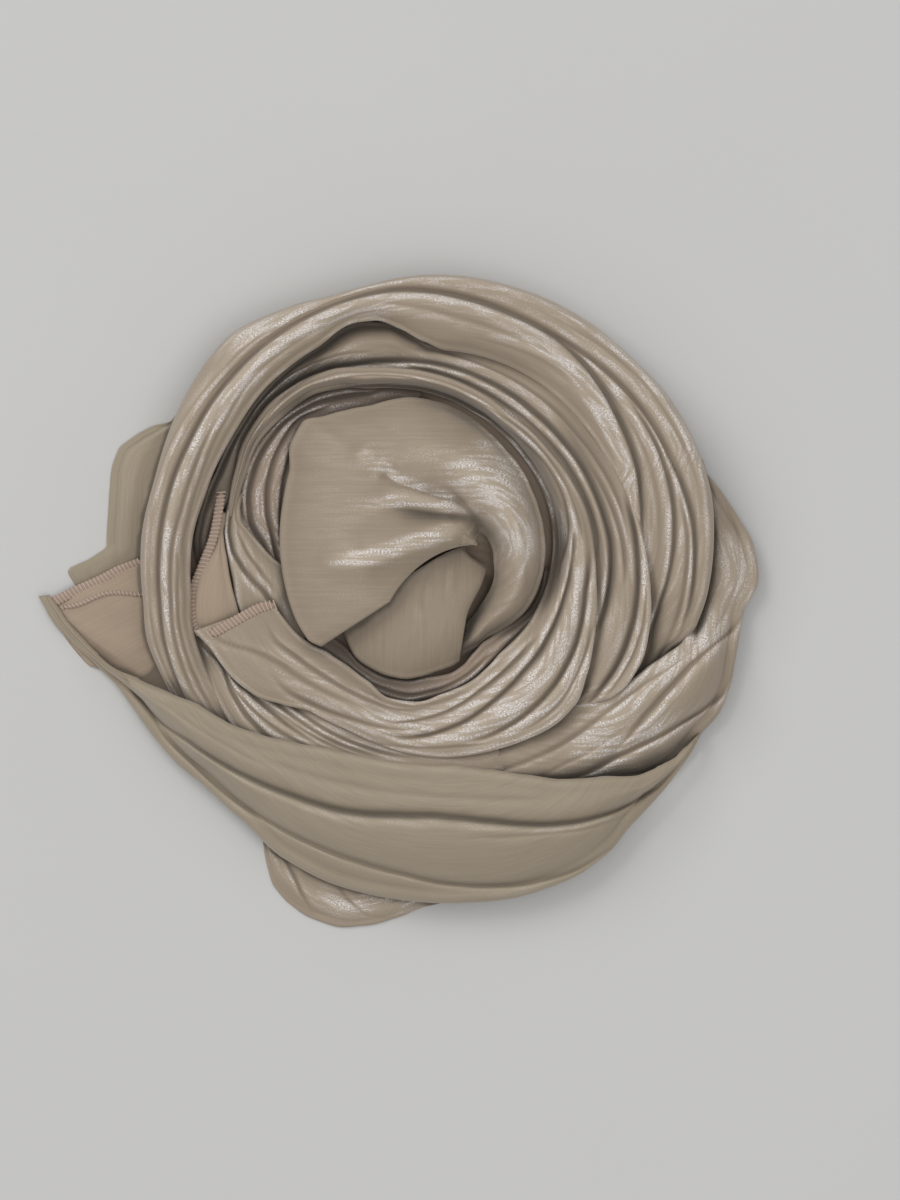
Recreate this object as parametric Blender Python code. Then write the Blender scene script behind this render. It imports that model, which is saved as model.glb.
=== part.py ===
"""A long sheer scarf wound loosely into a rosette and laid on a table.

Each stretch of cloth that shows is one closed wall over a shared heap of hidden
layers.  A stretch is a row of sections round a centre.  A section runs from the
outer rim over the folds to the inner rim, and its radii and heights come from the
short tables below, in millimetres, with angles in degrees from the +X axis.
"""

import math

import bpy
from mathutils import Vector
from mathutils.bvhtree import BVHTree

MM = 0.001
WALL = 1.2  # thickness of a gathered stretch, several sheer layers together
THIN = 1.0  # thickness of a flap that lies flat
CENTRE = (12.0, 21.7)  # middle of the winding
NECK = (30.2, 21.7)  # where the inner end is pinched
TIP = (-137.3, 0.8)  # outermost point of the hemmed left corner
ROLL = 1.9  # radius of a rolled edge
INNER_FOLD = 0.1  # share of each fold that the inner side of a wall follows
EDGE_TUCK = 0.6  # how far a rolled outer edge draws in at its rim
LIP_TUCK = 0.4  # how far a rolled inner edge draws in at its lower end
FOOT_TUCK = 2.6  # how far the tall outer side draws in at its foot
SIDE_GROOVE = 0.8  # depth of the folds along the outer side
HEAP_GAP = 0.7  # from the heap of hidden layers to the stretches on it
HEAP_BASE = 6.6  # height of the layered edge
HEAP_LAYERS = 3  # layers that show round that edge
HEAP_INSET = 0.8  # how far each of these layers stands back from the one below
HEAP_ROUND = 0.5  # height over which a layer rounds off
HEAP_NOTCH = 1.2  # depth of the notch between two layers
HEAP_FOOT = 0.9  # how far the lowest layer draws in where it rests
HEAP_OPEN = 9.0  # height of the heap where no stretch lies over it
HEAP_RISE = 2.5  # most that a ring stands above the mean of those round it
HEAP_SIDES = 40  # sections of the heap
HEAP_RINGS = (0.95, 0.9, 0.84, 0.77, 0.7, 0.62, 0.54, 0.45, 0.35, 0.24, 0.12)  # shares of the edge
SAMPLE = 1.2  # spacing of the points where the height over the heap is taken


def rows(names, *lines):
    """A table as a list of dictionaries, one for each section."""
    return [dict(zip(names.split(), line)) for line in lines]


# Radii of the fold lines: out and inner are the edges, v1 to v3 the valleys.
OUTER_COIL = rows(
    "angle out ridge v1 v2 inner",
    (-30, 99.6, 97.3, 95.4, 93.5, 92.2),
    (-25, 99.6, 97.3, 95.4, 92.7, 91.0),
    (-20, 103.7, 101.1, 97.7, 91.6, 89.1),
    (-17, 106.0, 103.0, 98.8, 90.3, 88.0),
    (-10, 107.2, 103.7, 99.9, 87.4, 85.1),
    (0, 107.9, 104.5, 100.7, 86.3, 81.3),
    (10, 108.7, 104.5, 98.8, 87.0, 78.7),
    (20, 108.3, 104.5, 96.5, 87.8, 76.4),
    (30, 107.2, 103.4, 95.4, 88.2, 74.9),
    (45, 104.7, 101.6, 93.3, 89.3, 74.7),
    (60, 104.1, 100.7, 92.0, 91.2, 74.9),
    (75, 103.5, 100.4, 94.0, 93.1, 74.9),
    (85, 103.2, 100.3, 96.5, 95.4, 74.9),
    (92, 102.8, 100.2, 97.7, 96.6, 78.1),
    (98, 102.4, 100.0, 98.0, 96.8, 83.6),
    (104, 101.8, 99.8, 97.9, 96.7, 88.4),
    (110, 102.1, 99.6, 97.7, 96.5, 89.7),
    (120, 105.3, 99.9, 97.7, 96.5, 87.0),
    (135, 110.6, 100.1, 97.8, 96.7, 87.0),
    (150, 109.1, 101.8, 98.4, 97.3, 86.3),
    (165, 107.9, 104.1, 99.9, 98.8, 87.8),
    (180, 110.2, 106.4, 101.8, 100.7, 91.2),
    (190, 111.3, 108.3, 103.7, 102.6, 93.1),
    (200, 114.0, 111.0, 107.2, 106.0, 96.5),
    (210, 114.0, 111.7, 109.4, 108.3, 98.4),
    (225, 113.2, 110.6, 107.9, 106.8, 102.6),
)

MIDDLE_COIL = rows(
    "angle out v1 v2 inner",
    (-46, 84.4, 83.0, 81.4, 79.8),
    (-43, 86.8, 83.2, 80.1, 79.2),
    (-40, 89.5, 83.6, 78.7, 77.3),
    (-35, 91.2, 84.0, 76.6, 74.7),
    (-30, 91.2, 84.4, 74.5, 72.0),
    (-20, 88.2, 82.8, 71.1, 67.5),
    (-10, 84.2, 80.6, 69.2, 64.0),
    (0, 80.8, 78.3, 68.0, 62.1),
    (10, 78.1, 76.4, 66.9, 61.0),
    (20, 75.8, 74.7, 65.4, 59.5),
    (35, 74.1, 73.2, 64.2, 58.0),
    (50, 74.3, 73.0, 63.5, 57.2),
    (65, 74.3, 73.2, 65.2, 59.5),
    (80, 74.3, 73.3, 67.3, 62.7),
    (90, 75.6, 75.6, 69.5, 65.4),
    (95, 79.8, 76.4, 70.9, 66.8),
    (101, 85.9, 77.3, 72.5, 68.6),
    (110, 88.9, 79.0, 75.6, 72.0),
    (120, 86.5, 83.2, 79.8, 76.8),
    (130, 86.6, 85.7, 82.8, 79.8),
    (140, 86.1, 85.6, 84.0, 81.7),
    (150, 85.7, 85.1, 83.6, 81.5),
    (160, 85.7, 86.3, 82.5, 78.8),
    (167, 87.5, 87.1, 84.1, 79.0),
    (172, 88.3, 87.8, 85.1, 82.0),
    (178, 89.3, 88.9, 86.3, 83.6),
)

INNER_COIL = rows(
    "angle out v1 v2 inner",
    (200, 95.0, 86.6, 76.8, 63.5),
    (206, 91.5, 85.4, 76.3, 62.1),
    (213, 90.1, 83.2, 74.9, 60.7),
    (220, 87.4, 80.6, 72.2, 58.7),
    (227, 82.1, 76.8, 69.0, 56.1),
    (235, 77.1, 73.7, 66.5, 55.5),
    (245, 76.4, 72.2, 65.4, 56.6),
    (255, 77.5, 73.0, 66.1, 60.0),
    (265, 79.2, 74.1, 67.3, 59.7),
    (275, 80.4, 74.5, 67.1, 56.5),
    (285, 80.9, 74.1, 65.4, 54.3),
    (295, 81.7, 73.0, 62.9, 51.3),
    (305, 82.5, 71.4, 60.2, 48.6),
    (312, 81.4, 70.2, 58.6, 48.2),
    (320, 76.8, 68.4, 57.4, 47.9),
    (330, 71.4, 65.4, 55.5, 47.1),
    (340, 66.9, 62.5, 54.5, 46.7),
    (350, 63.5, 61.0, 54.1, 46.6),
    (360, 61.6, 59.7, 54.7, 46.8),
    (370, 60.4, 58.5, 55.1, 47.0),
    (385, 58.3, 57.1, 53.8, 47.4),
    (400, 57.0, 56.2, 53.4, 48.4),
    (415, 57.2, 56.6, 53.6, 50.0),
    (430, 60.0, 59.3, 55.8, 52.8),
    (445, 63.5, 62.5, 59.2, 56.4),
    (460, 67.6, 66.5, 62.4, 60.4),
    (470, 71.4, 70.3, 65.7, 63.5),
    (480, 76.2, 75.2, 70.7, 68.8),
    (490, 79.2, 78.3, 75.2, 73.0),
    (500, 81.1, 80.2, 77.5, 74.5),
    (510, 80.9, 79.8, 78.3, 76.0),
    (520, 78.8, 77.7, 76.4, 75.0),
    (528, 77.7, 77.0, 76.2, 74.9),
)

LOWER_SWEEP = rows(
    "angle out v1 v2 inner",
    (187.4, 151.1, 150.6, 150.3, 148.2),
    (190, 148.6, 147.6, 147.0, 144.8),
    (195, 142.5, 141.7, 140.6, 138.7),
    (200, 135.7, 135.5, 133.8, 132.2),
    (205, 131.1, 129.2, 125.8, 122.7),
    (210, 129.6, 127.3, 122.4, 114.0),
    (215, 128.8, 125.4, 120.1, 107.2),
    (220, 128.1, 124.3, 117.4, 103.7),
    (227, 126.2, 123.0, 114.4, 98.2),
    (235, 127.3, 122.4, 111.0, 92.0),
    (245, 132.2, 122.0, 107.5, 86.6),
    (255, 134.9, 123.5, 105.3, 84.4),
    (265, 136.0, 125.8, 103.0, 83.8),
    (275, 137.2, 130.0, 104.1, 84.4),
    (285, 138.7, 133.8, 109.4, 88.9),
    (293, 138.4, 135.7, 115.5, 95.5),
    (300, 136.0, 134.5, 120.5, 103.4),
    (306, 131.8, 130.6, 123.7, 109.6),
    (313, 129.6, 128.3, 126.5, 119.7),
    (319, 127.9, 127.3, 126.7, 124.8),
)

RIGHT_TURN = rows(
    "angle out v1 v2 v3 inner",
    (-77, 93.5, 92.3, 91.6, 89.7, 79.4),
    (-70, 97.7, 93.9, 92.3, 89.7, 79.4),
    (-65, 103.0, 97.3, 95.0, 90.1, 80.0),
    (-60, 108.7, 101.8, 98.0, 90.4, 80.8),
    (-55, 113.6, 105.6, 100.3, 90.8, 81.0),
    (-50, 118.9, 107.2, 101.8, 91.2, 81.3),
    (-46, 123.5, 109.6, 103.1, 91.8, 84.5),
    (-43, 125.2, 111.6, 103.8, 92.7, 88.0),
    (-40, 126.2, 113.6, 104.5, 93.9, 91.0),
    (-35, 126.5, 117.8, 105.3, 96.1, 93.1),
    (-30, 128.1, 122.9, 107.2, 98.4, 95.8),
    (-25, 126.9, 126.5, 109.1, 102.2, 100.3),
    (-20, 124.6, 124.3, 114.0, 106.8, 104.7),
    (-17, 123.5, 123.1, 118.3, 107.5, 104.1),
    (-12.5, 122.7, 123.3, 122.2, 108.1, 103.9),
    (-6, 126.5, 123.2, 121.8, 108.3, 103.9),
    (0, 123.9, 121.6, 119.7, 108.3, 104.1),
    (5, 118.9, 117.2, 115.7, 108.3, 104.5),
    (10, 114.0, 112.9, 111.7, 108.3, 104.9),
    (14.5, 109.6, 108.6, 107.5, 106.4, 105.4),
)

LOWER_LEFT_FOLDS = rows(
    "angle out v1 v2 inner",
    (202, 96.1, 95.0, 93.9, 92.7),
    (206, 97.2, 93.9, 91.7, 89.7),
    (210, 97.8, 92.3, 90.6, 88.5),
    (215, 99.2, 93.9, 89.9, 87.4),
    (220, 100.7, 95.0, 88.5, 85.1),
    (225, 101.8, 95.8, 87.4, 81.3),
    (230, 99.9, 95.4, 86.6, 77.5),
    (235, 95.8, 92.5, 85.9, 74.9),
    (242, 91.7, 89.2, 83.4, 74.1),
    (252, 89.0, 87.1, 82.4, 74.6),
    (262, 87.7, 85.8, 82.1, 76.6),
    (272, 87.7, 86.1, 82.3, 77.7),
    (282.6, 91.8, 89.2, 83.6, 78.6),
)

LEFT_FOLDS = rows(
    "angle out v1 inner",
    (168.4, 77.9, 76.8, 74.7),
    (172, 78.1, 76.8, 73.5),
    (176, 77.9, 76.4, 69.2),
    (180, 77.1, 75.8, 65.0),
    (185, 76.2, 73.0, 60.4),
    (190, 75.6, 69.2, 55.9),
    (196, 76.2, 65.6, 55.9),
    (203, 75.6, 62.5, 56.0),
    (213, 73.7, 60.8, 56.6),
)

HEM_CORNER = rows(
    "angle out inner",
    (171, 81.1, 78.7),
    (176, 81.9, 78.8),
    (180, 82.5, 78.1),
    (184, 85.3, 77.3),
    (188, 88.9, 77.0),
    (192, 91.4, 76.9),
    (196, 93.1, 76.8),
    (200, 94.6, 77.0),
    (203, 92.7, 77.0),
)

NEST_LAYER = rows(
    "angle out inner",
    (97, 60.4, 54.7),
    (105, 63.5, 55.0),
    (113, 66.3, 56.0),
    (120, 70.7, 58.1),
    (128, 73.7, 60.9),
    (136, 75.4, 66.1),
    (143, 76.5, 63.2),
    (150, 77.5, 58.9),
    (160, 77.9, 56.2),
    (170, 74.9, 54.7),
    (178, 67.2, 54.4),
    (186, 61.3, 54.1),
    (195, 60.0, 54.1),
    (205, 60.0, 54.5),
    (215, 59.7, 54.4),
    (222, 59.0, 52.1),
    (230, 58.1, 51.1),
    (240, 57.8, 53.2),
    (250, 60.8, 54.0),
    (260, 62.7, 53.2),
    (270, 60.4, 50.9),
    (278, 58.4, 50.3),
    (285, 56.6, 48.3),
    (292, 54.5, 45.0),
    (300, 52.1, 42.9),
    (310, 50.5, 42.9),
    (320, 50.2, 44.5),
    (330, 49.4, 46.4),
    (338, 49.1, 46.2),
    (346, 48.3, 45.6),
)

BACK_LEFT_FLAP = rows(
    "angle out inner",
    (151, 109.4, 105.8),
    (154, 110.2, 105.4),
    (157, 116.7, 105.2),
    (160, 121.6, 105.2),
    (163, 125.4, 105.3),
    (166, 125.9, 105.4),
    (170, 125.0, 105.6),
    (175, 124.3, 105.8),
    (180, 124.3, 106.0),
    (182, 130.0, 106.1),
    (184, 139.5, 106.2),
    (186, 137.6, 106.4),
    (188, 135.3, 106.6),
)

BOTTOM_CORNER = rows(
    "angle out inner",
    (240.5, 130.3, 126.9),
    (243, 137.9, 127.3),
    (245.5, 144.2, 127.5),
    (248.5, 147.8, 127.8),
    (252, 150.1, 128.5),
    (256, 150.7, 129.3),
    (260, 148.2, 129.6),
    (265, 143.3, 130.0),
    (270, 138.3, 130.7),
    (272, 137.2, 131.5),
)

# Heights: z_out, z_top and z_in are the crown line at the outer edge, at its top
# and at the inner edge; rim is the lower end of the outer side; d1 to d3 are the
# depths of the valleys and drop is how far the inner edge turns down.
OUTER_COIL_Z = rows(
    "angle z_out z_top z_in rim d1 d2 drop",
    (-30, 13.0, 14.5, 13.5, 11.0, 1.0, 1.0, 2.5),
    (-25, 15.0, 16.5, 15.5, 12.0, 1.5, 1.0, 3.0),
    (-20, 17.5, 19.0, 17.5, 12.8, 2.0, 1.5, 4.0),
    (-10, 22.5, 24.0, 20.5, 12.8, 2.5, 2.5, 4.5),
    (5, 26.0, 27.5, 23.0, 12.8, 3.0, 3.0, 5.0),
    (15, 27.3, 29.0, 24.5, 12.8, 3.2, 3.0, 5.0),
    (22, 27.8, 29.5, 25.0, 7.2, 3.2, 3.0, 5.0),
    (45, 28.8, 30.5, 25.5, 7.2, 3.6, 2.0, 6.0),
    (62, 29.2, 31.0, 25.5, 7.2, 3.6, 0.5, 6.0),
    (90, 29.4, 31.0, 25.5, 7.2, 3.0, 0.3, 6.5),
    (120, 29.2, 31.0, 26.5, 7.2, 2.6, 0.3, 7.0),
    (150, 28.9, 30.5, 26.0, 7.2, 2.6, 0.3, 7.0),
    (180, 26.6, 28.5, 24.0, 7.2, 2.6, 0.3, 6.0),
    (198, 21.5, 25.0, 21.0, 7.2, 2.4, 0.3, 4.0),
    (205, 18.5, 22.5, 19.5, 7.2, 2.0, 0.3, 3.0),
    (212, 15.0, 18.5, 17.5, 7.2, 1.5, 0.3, 2.5),
    (225, 10.5, 13.5, 13.0, 7.2, 1.0, 0.3, 2.0),
)
MIDDLE_COIL_Z = rows(
    "angle z_out z_top z_in rim d1 d2 drop",
    (-46, 19.5, 19.0, 17.8, 15.5, 1.0, 0.5, 2.0),
    (-40, 23.0, 22.5, 20.0, 18.0, 3.0, 1.5, 3.0),
    (-20, 24.0, 23.5, 20.5, 19.0, 3.0, 2.5, 3.0),
    (0, 24.5, 24.5, 21.0, 19.0, 2.0, 3.0, 3.0),
    (20, 23.5, 25.0, 21.5, 18.5, 1.0, 3.0, 3.0),
    (60, 22.5, 24.5, 21.0, 17.5, 1.0, 2.6, 3.0),
    (85, 21.0, 23.5, 20.5, 16.0, 1.0, 2.2, 3.0),
    (98, 16.0, 21.5, 19.0, 12.5, 2.2, 2.0, 3.0),
    (110, 14.5, 20.0, 17.5, 11.5, 2.2, 1.6, 2.5),
    (130, 13.5, 16.5, 15.5, 10.5, 1.5, 1.2, 2.5),
    (150, 13.0, 15.0, 14.0, 10.5, 1.0, 0.8, 2.5),
    (178, 12.0, 13.5, 12.5, 9.5, 1.0, 0.8, 2.0),
)
INNER_COIL_Z = rows(
    "angle z_out z_top z_in rim d1 d2 drop",
    (200, 20.8, 22.2, 20.2, 19.0, 1.0, 0.6, 0.8),
    (212, 22.0, 23.8, 20.4, 19.2, 1.5, 1.0, 1.2),
    (225, 23.0, 25.3, 20.2, 20.0, 1.8, 1.5, 3.0),
    (240, 23.5, 26.5, 20.5, 20.2, 1.6, 1.8, 4.5),
    (270, 24.5, 27.5, 22.5, 20.5, 1.6, 2.0, 4.0),
    (300, 25.0, 27.8, 22.0, 20.5, 2.2, 2.4, 3.5),
    (325, 25.3, 27.3, 20.5, 20.5, 2.6, 2.6, 3.5),
    (345, 25.0, 27.0, 16.5, 20.5, 1.6, 2.6, 3.5),
    (360, 24.5, 26.6, 13.5, 20.0, 1.2, 1.0, 2.5),
    (385, 24.5, 26.0, 12.5, 19.5, 0.8, 2.4, 2.5),
    (420, 24.2, 25.5, 13.5, 19.5, 0.8, 2.6, 3.0),
    (450, 23.5, 24.8, 16.0, 19.0, 0.8, 2.4, 3.5),
    (475, 21.5, 23.2, 17.5, 17.5, 1.0, 2.0, 3.5),
    (500, 19.2, 20.8, 16.5, 15.5, 1.2, 1.4, 3.0),
    (520, 17.0, 18.2, 15.8, 13.8, 0.5, 0.5, 2.2),
    (528, 16.2, 16.8, 15.4, 13.6, 0.3, 0.3, 1.6),
)
LOWER_SWEEP_Z = rows(
    "angle z_out z_top z_in rim d1 d2 drop",
    (187.4, 3.3, 3.6, 3.3, 2.3, 0.1, 0.1, 0.8),
    (195, 4.2, 5.8, 5.0, 2.5, 0.3, 0.3, 1.2),
    (201, 6.2, 11.0, 10.2, 2.8, 0.6, 0.6, 2.0),
    (206, 8.5, 17.2, 17.0, 3.0, 1.0, 1.2, 3.0),
    (211, 11.0, 22.0, 22.2, 5.0, 1.6, 1.8, 3.0),
    (220, 13.0, 25.5, 24.4, 6.6, 2.4, 2.6, 2.6),
    (235, 14.0, 27.0, 25.0, 7.0, 3.0, 3.2, 2.8),
    (270, 14.5, 27.5, 25.2, 7.0, 3.2, 3.8, 3.0),
    (290, 14.5, 26.5, 25.0, 7.0, 3.0, 3.4, 3.0),
    (300, 14.0, 25.0, 24.0, 7.0, 2.2, 2.8, 3.0),
    (308, 13.2, 22.0, 21.5, 7.6, 1.4, 2.0, 2.8),
    (314, 13.0, 18.0, 18.0, 8.6, 0.8, 1.0, 2.0),
    (319, 12.0, 13.6, 13.4, 9.6, 0.3, 0.4, 1.2),
)
RIGHT_TURN_Z = rows(
    "angle z_out z_top z_in rim d1 d2 d3 drop",
    (-77, 15.0, 16.5, 14.8, 12.0, 0.5, 0.8, 1.8, 2.0),
    (-65, 16.5, 18.6, 17.0, 13.0, 1.6, 0.8, 2.4, 2.2),
    (-55, 14.5, 19.8, 18.0, 10.0, 2.8, 1.0, 2.4, 2.2),
    (-50, 11.0, 20.4, 18.6, 8.0, 2.6, 1.2, 2.0, 2.2),
    (-44, 7.5, 20.6, 19.6, 5.0, 2.6, 1.6, 1.0, 2.4),
    (-39, 7.2, 21.6, 20.8, 4.4, 2.6, 2.0, 0.6, 2.6),
    (-30, 9.0, 22.6, 21.6, 5.5, 2.0, 2.6, 0.6, 2.6),
    (-25, 9.5, 22.2, 20.8, 6.0, 1.0, 2.6, 0.5, 2.4),
    (-20, 9.5, 19.2, 17.4, 6.5, 0.6, 2.2, 0.5, 2.0),
    (-16, 9.5, 16.0, 9.8, 6.5, 0.5, 1.4, 0.3, 1.2),
    (-10, 9.0, 14.6, 9.0, 5.4, 0.5, 0.5, 0.2, 1.2),
    (0, 8.5, 13.6, 8.8, 5.4, 0.3, 0.3, 0.2, 1.2),
    (8, 7.5, 10.8, 8.4, 4.6, 0.2, 0.2, 0.1, 1.2),
    (14.5, 6.8, 8.0, 7.6, 4.4, 0.0, 0.0, 0.0, 1.2),
)
LOWER_LEFT_FOLDS_Z = rows(
    "angle z_out z_top z_in rim d1 d2 drop",
    (202, 15.0, 16.0, 15.5, 13.0, 0.6, 0.6, 1.5),
    (215, 17.0, 18.2, 16.6, 14.5, 1.6, 1.2, 1.5),
    (225, 17.5, 19.2, 17.0, 15.0, 1.8, 1.6, 1.5),
    (240, 18.0, 19.4, 17.0, 15.5, 1.2, 1.2, 1.5),
    (265, 17.5, 18.8, 17.0, 15.0, 1.0, 1.0, 1.5),
    (282.6, 15.5, 16.6, 15.6, 13.5, 0.6, 0.6, 1.5),
)
LEFT_FOLDS_Z = rows(
    "angle z_out z_top z_in rim d1 drop",
    (168.4, 15.6, 16.2, 15.2, 14.0, 0.4, 1.4),
    (180, 16.6, 17.2, 16.0, 14.6, 1.0, 1.5),
    (190, 17.0, 17.8, 16.0, 15.0, 1.4, 1.5),
    (200, 17.0, 17.6, 15.6, 15.0, 1.2, 1.2),
    (213, 16.2, 16.8, 15.2, 14.4, 0.8, 1.2),
)
HEM_CORNER_Z = rows(
    "angle z_out z_top z_in rim drop",
    (171, 15.6, 16.0, 15.6, 14.6, 0.8),
    (180, 17.2, 17.8, 17.2, 16.0, 1.0),
    (192, 18.8, 19.2, 18.2, 17.6, 1.0),
    (203, 17.8, 18.2, 17.6, 16.6, 0.8),
)
NEST_LAYER_Z = rows(
    "angle z_out z_top z_in rim drop",
    (97, 12.0, 13.4, 12.8, 10.5, 1.2),
    (120, 12.4, 15.2, 14.4, 10.8, 1.5),
    (145, 12.6, 15.8, 15.0, 10.8, 1.5),
    (165, 12.6, 15.8, 15.0, 10.8, 1.5),
    (180, 12.6, 14.0, 13.8, 10.8, 1.5),
    (188, 12.4, 13.4, 13.2, 10.8, 1.2),
    (205, 12.2, 13.2, 13.0, 10.6, 1.2),
    (225, 12.0, 13.4, 13.0, 10.4, 1.2),
    (250, 12.4, 14.2, 13.6, 10.8, 1.2),
    (270, 14.0, 15.5, 14.5, 12.5, 1.5),
    (285, 16.2, 17.4, 16.2, 14.8, 2.5),
    (300, 16.8, 17.6, 15.8, 15.4, 3.0),
    (320, 15.8, 16.6, 14.8, 14.4, 2.5),
    (335, 13.0, 13.6, 12.6, 11.8, 1.5),
    (346, 11.0, 11.4, 11.0, 9.8, 0.8),
)
BACK_LEFT_FLAP_Z = rows(
    "angle z_out z_top z_in rim drop",
    (151, 1.4, 2.4, 2.4, 0.3, 1.0),
    (170, 1.6, 4.4, 4.8, 0.3, 1.0),
    (180, 1.4, 3.0, 3.4, 0.2, 1.0),
    (184, 1.2, 1.5, 1.8, 0.2, 1.0),
    (188, 1.1, 1.2, 1.3, 0.1, 1.0),
)
BOTTOM_CORNER_Z = rows(
    "angle z_out z_top z_in rim drop",
    (240.5, 1.4, 3.0, 3.4, 0.3, 1.0),
    (248.5, 1.6, 5.4, 5.4, 0.3, 1.0),
    (260, 1.6, 4.8, 5.2, 0.3, 1.0),
    (272, 1.4, 2.6, 3.0, 0.3, 1.0),
)

# The innermost cloth: a bunch that comes up at the right of the pinched neck,
# turns over the top and opens as a petal at the left.
PETAL = rows(
    "angle out inner z_out z_top z_in rim drop",
    (-99, 43.0, 30.5, 11.0, 13.5, 12.0, 9.0, 1.5),
    (-92, 40.0, 25.5, 12.0, 17.0, 14.0, 9.5, 2.5),
    (-83, 35.5, 20.6, 14.0, 20.5, 16.5, 9.5, 3.5),
    (-72, 33.2, 16.4, 17.0, 24.0, 18.5, 9.5, 4.5),
    (-60, 31.8, 12.3, 19.0, 27.0, 20.0, 9.5, 5.0),
    (-45, 29.6, 8.2, 20.5, 29.5, 21.5, 9.5, 5.0),
    (-28, 27.4, 6.4, 21.5, 31.5, 22.5, 9.5, 4.0),
    (-10, 26.0, 5.2, 22.0, 32.8, 23.0, 9.5, 3.0),
    (8, 25.6, 4.6, 22.5, 33.6, 23.5, 9.5, 3.0),
    (25, 26.5, 4.4, 22.5, 34.0, 24.0, 10.0, 3.0),
    (42, 28.8, 4.4, 22.5, 34.4, 24.0, 10.5, 3.0),
    (58, 32.8, 4.4, 22.5, 34.8, 24.5, 11.5, 3.0),
    (72, 37.2, 4.4, 22.5, 35.0, 24.5, 12.5, 3.0),
    (84, 43.0, 4.2, 22.0, 35.0, 25.0, 14.0, 3.0),
    (95, 49.8, 4.0, 20.0, 35.0, 25.0, 16.0, 3.0),
    (106, 56.8, 4.0, 20.8, 35.0, 25.5, 17.0, 3.0),
    (117, 63.0, 4.0, 21.4, 35.2, 26.0, 17.6, 3.0),
    (127, 66.8, 4.0, 21.8, 35.4, 26.5, 18.0, 3.0),
    (134, 71.6, 4.0, 22.0, 35.6, 26.5, 18.0, 3.0),
    (140, 76.4, 4.0, 22.0, 35.8, 26.5, 18.0, 3.0),
    (145, 81.6, 4.0, 22.0, 36.0, 27.0, 18.0, 3.0),
    (151, 81.2, 4.0, 22.2, 36.0, 27.0, 18.2, 3.0),
    (159, 77.0, 4.0, 22.4, 36.0, 27.0, 18.4, 3.0),
    (169, 75.9, 4.0, 22.6, 36.0, 27.0, 18.6, 3.0),
    (180, 75.4, 4.0, 22.8, 35.6, 27.0, 19.0, 3.0),
    (191, 75.0, 4.0, 23.0, 35.0, 26.5, 19.4, 3.0),
    (201, 74.9, 4.0, 23.2, 34.0, 26.0, 19.6, 3.0),
    (209, 74.0, 4.0, 23.4, 32.8, 25.5, 20.0, 3.0),
    (213, 71.0, 4.4, 23.4, 31.6, 25.0, 20.4, 3.0),
)
# Creases of the petal, from the neck outwards: the angle that each follows,
# its depth and its half width.
PETAL_CREASES = rows(
    "from_r a0 mid_r a1 to_r a2 depth width",
    (14.0, 114.0, 24.0, 132.0, 42.0, 143.0, 3.8, 2.8),
    (8.0, 98.0, 20.0, 146.0, 44.0, 164.0, 3.4, 2.6),
    (14.0, 164.0, 32.0, 173.0, 56.0, 175.5, 2.0, 2.8),
    (10.0, 66.0, 18.0, 84.0, 30.0, 100.0, 2.2, 2.2),
    (8.0, -18.0, 15.0, 8.0, 24.0, 40.0, 1.8, 2.0),
)
# The tongue under the petal: each section runs from an angle at the neck out to
# another at its free edge.
TONGUE = rows(
    "angle start out inner z_out z_top z_in rim drop",
    (204, 216, 58.0, 5.0, 18.0, 25.0, 21.4, 14.5, 2.0),
    (214, 220, 61.2, 5.0, 18.0, 25.4, 21.4, 14.5, 2.0),
    (223, 228, 63.2, 5.0, 18.0, 25.6, 21.4, 14.5, 2.0),
    (232, 238, 61.5, 5.0, 17.8, 25.4, 21.2, 14.2, 2.0),
    (240, 250, 58.8, 5.2, 17.4, 24.6, 20.6, 13.8, 2.0),
    (247, 262, 54.4, 5.6, 17.0, 23.8, 20.0, 13.4, 2.0),
    (253, 274, 50.0, 6.4, 16.4, 22.8, 19.4, 12.8, 2.0),
    (258, 285, 47.2, 7.6, 15.6, 21.4, 18.8, 12.0, 2.0),
    (261, 292, 44.8, 8.7, 14.8, 20.0, 18.2, 11.2, 2.0),
)
# The hemmed left corner lies flat and fans out from its tip.
LEFT_CORNER = rows(
    "angle out inner z_out z_top z_in rim drop",
    (-57, 16.0, 2.6, 1.1, 1.4, 1.4, 0.1, 0.9),
    (-53, 32.0, 1.8, 1.5, 1.6, 1.4, 0.5, 0.9),
    (-47, 37.0, 1.4, 1.9, 1.8, 1.4, 0.9, 0.9),
    (-42, 43.0, 1.2, 3.0, 2.4, 1.4, 2.0, 0.9),
    (-36, 55.0, 1.2, 5.0, 3.4, 1.4, 4.0, 0.9),
    (-29, 57.0, 1.2, 5.8, 3.8, 1.5, 4.8, 0.9),
    (-20, 51.5, 1.2, 6.2, 4.0, 1.5, 5.2, 0.9),
    (-4, 45.5, 1.2, 6.4, 4.4, 1.6, 5.4, 0.9),
    (8, 44.5, 1.8, 6.2, 4.6, 1.9, 5.2, 0.9),
    (15, 44.0, 10.0, 6.0, 4.6, 3.0, 5.0, 0.9),
    (19.5, 44.0, 24.0, 5.8, 4.8, 3.8, 4.8, 0.9),
)
# Outer edge of the heap of hidden layers.
HEAP_EDGE = rows(
    "angle edge",
    (0, 116.0),
    (8, 106.0),
    (14, 102.5),
    (25, 103.0),
    (60, 100.5),
    (100, 98.5),
    (120, 101.5),
    (135, 105.5),
    (150, 105.3),
    (190, 106.6),
    (198, 106.0),
    (204, 108.0),
    (212, 117.0),
    (222, 122.0),
    (236, 122.5),
    (255, 129.0),
    (280, 132.5),
    (297, 129.5),
    (305, 123.0),
    (312, 119.0),
    (328, 119.0),
    (336, 120.0),
    (346, 116.0),
    (354, 118.0),
)


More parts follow.
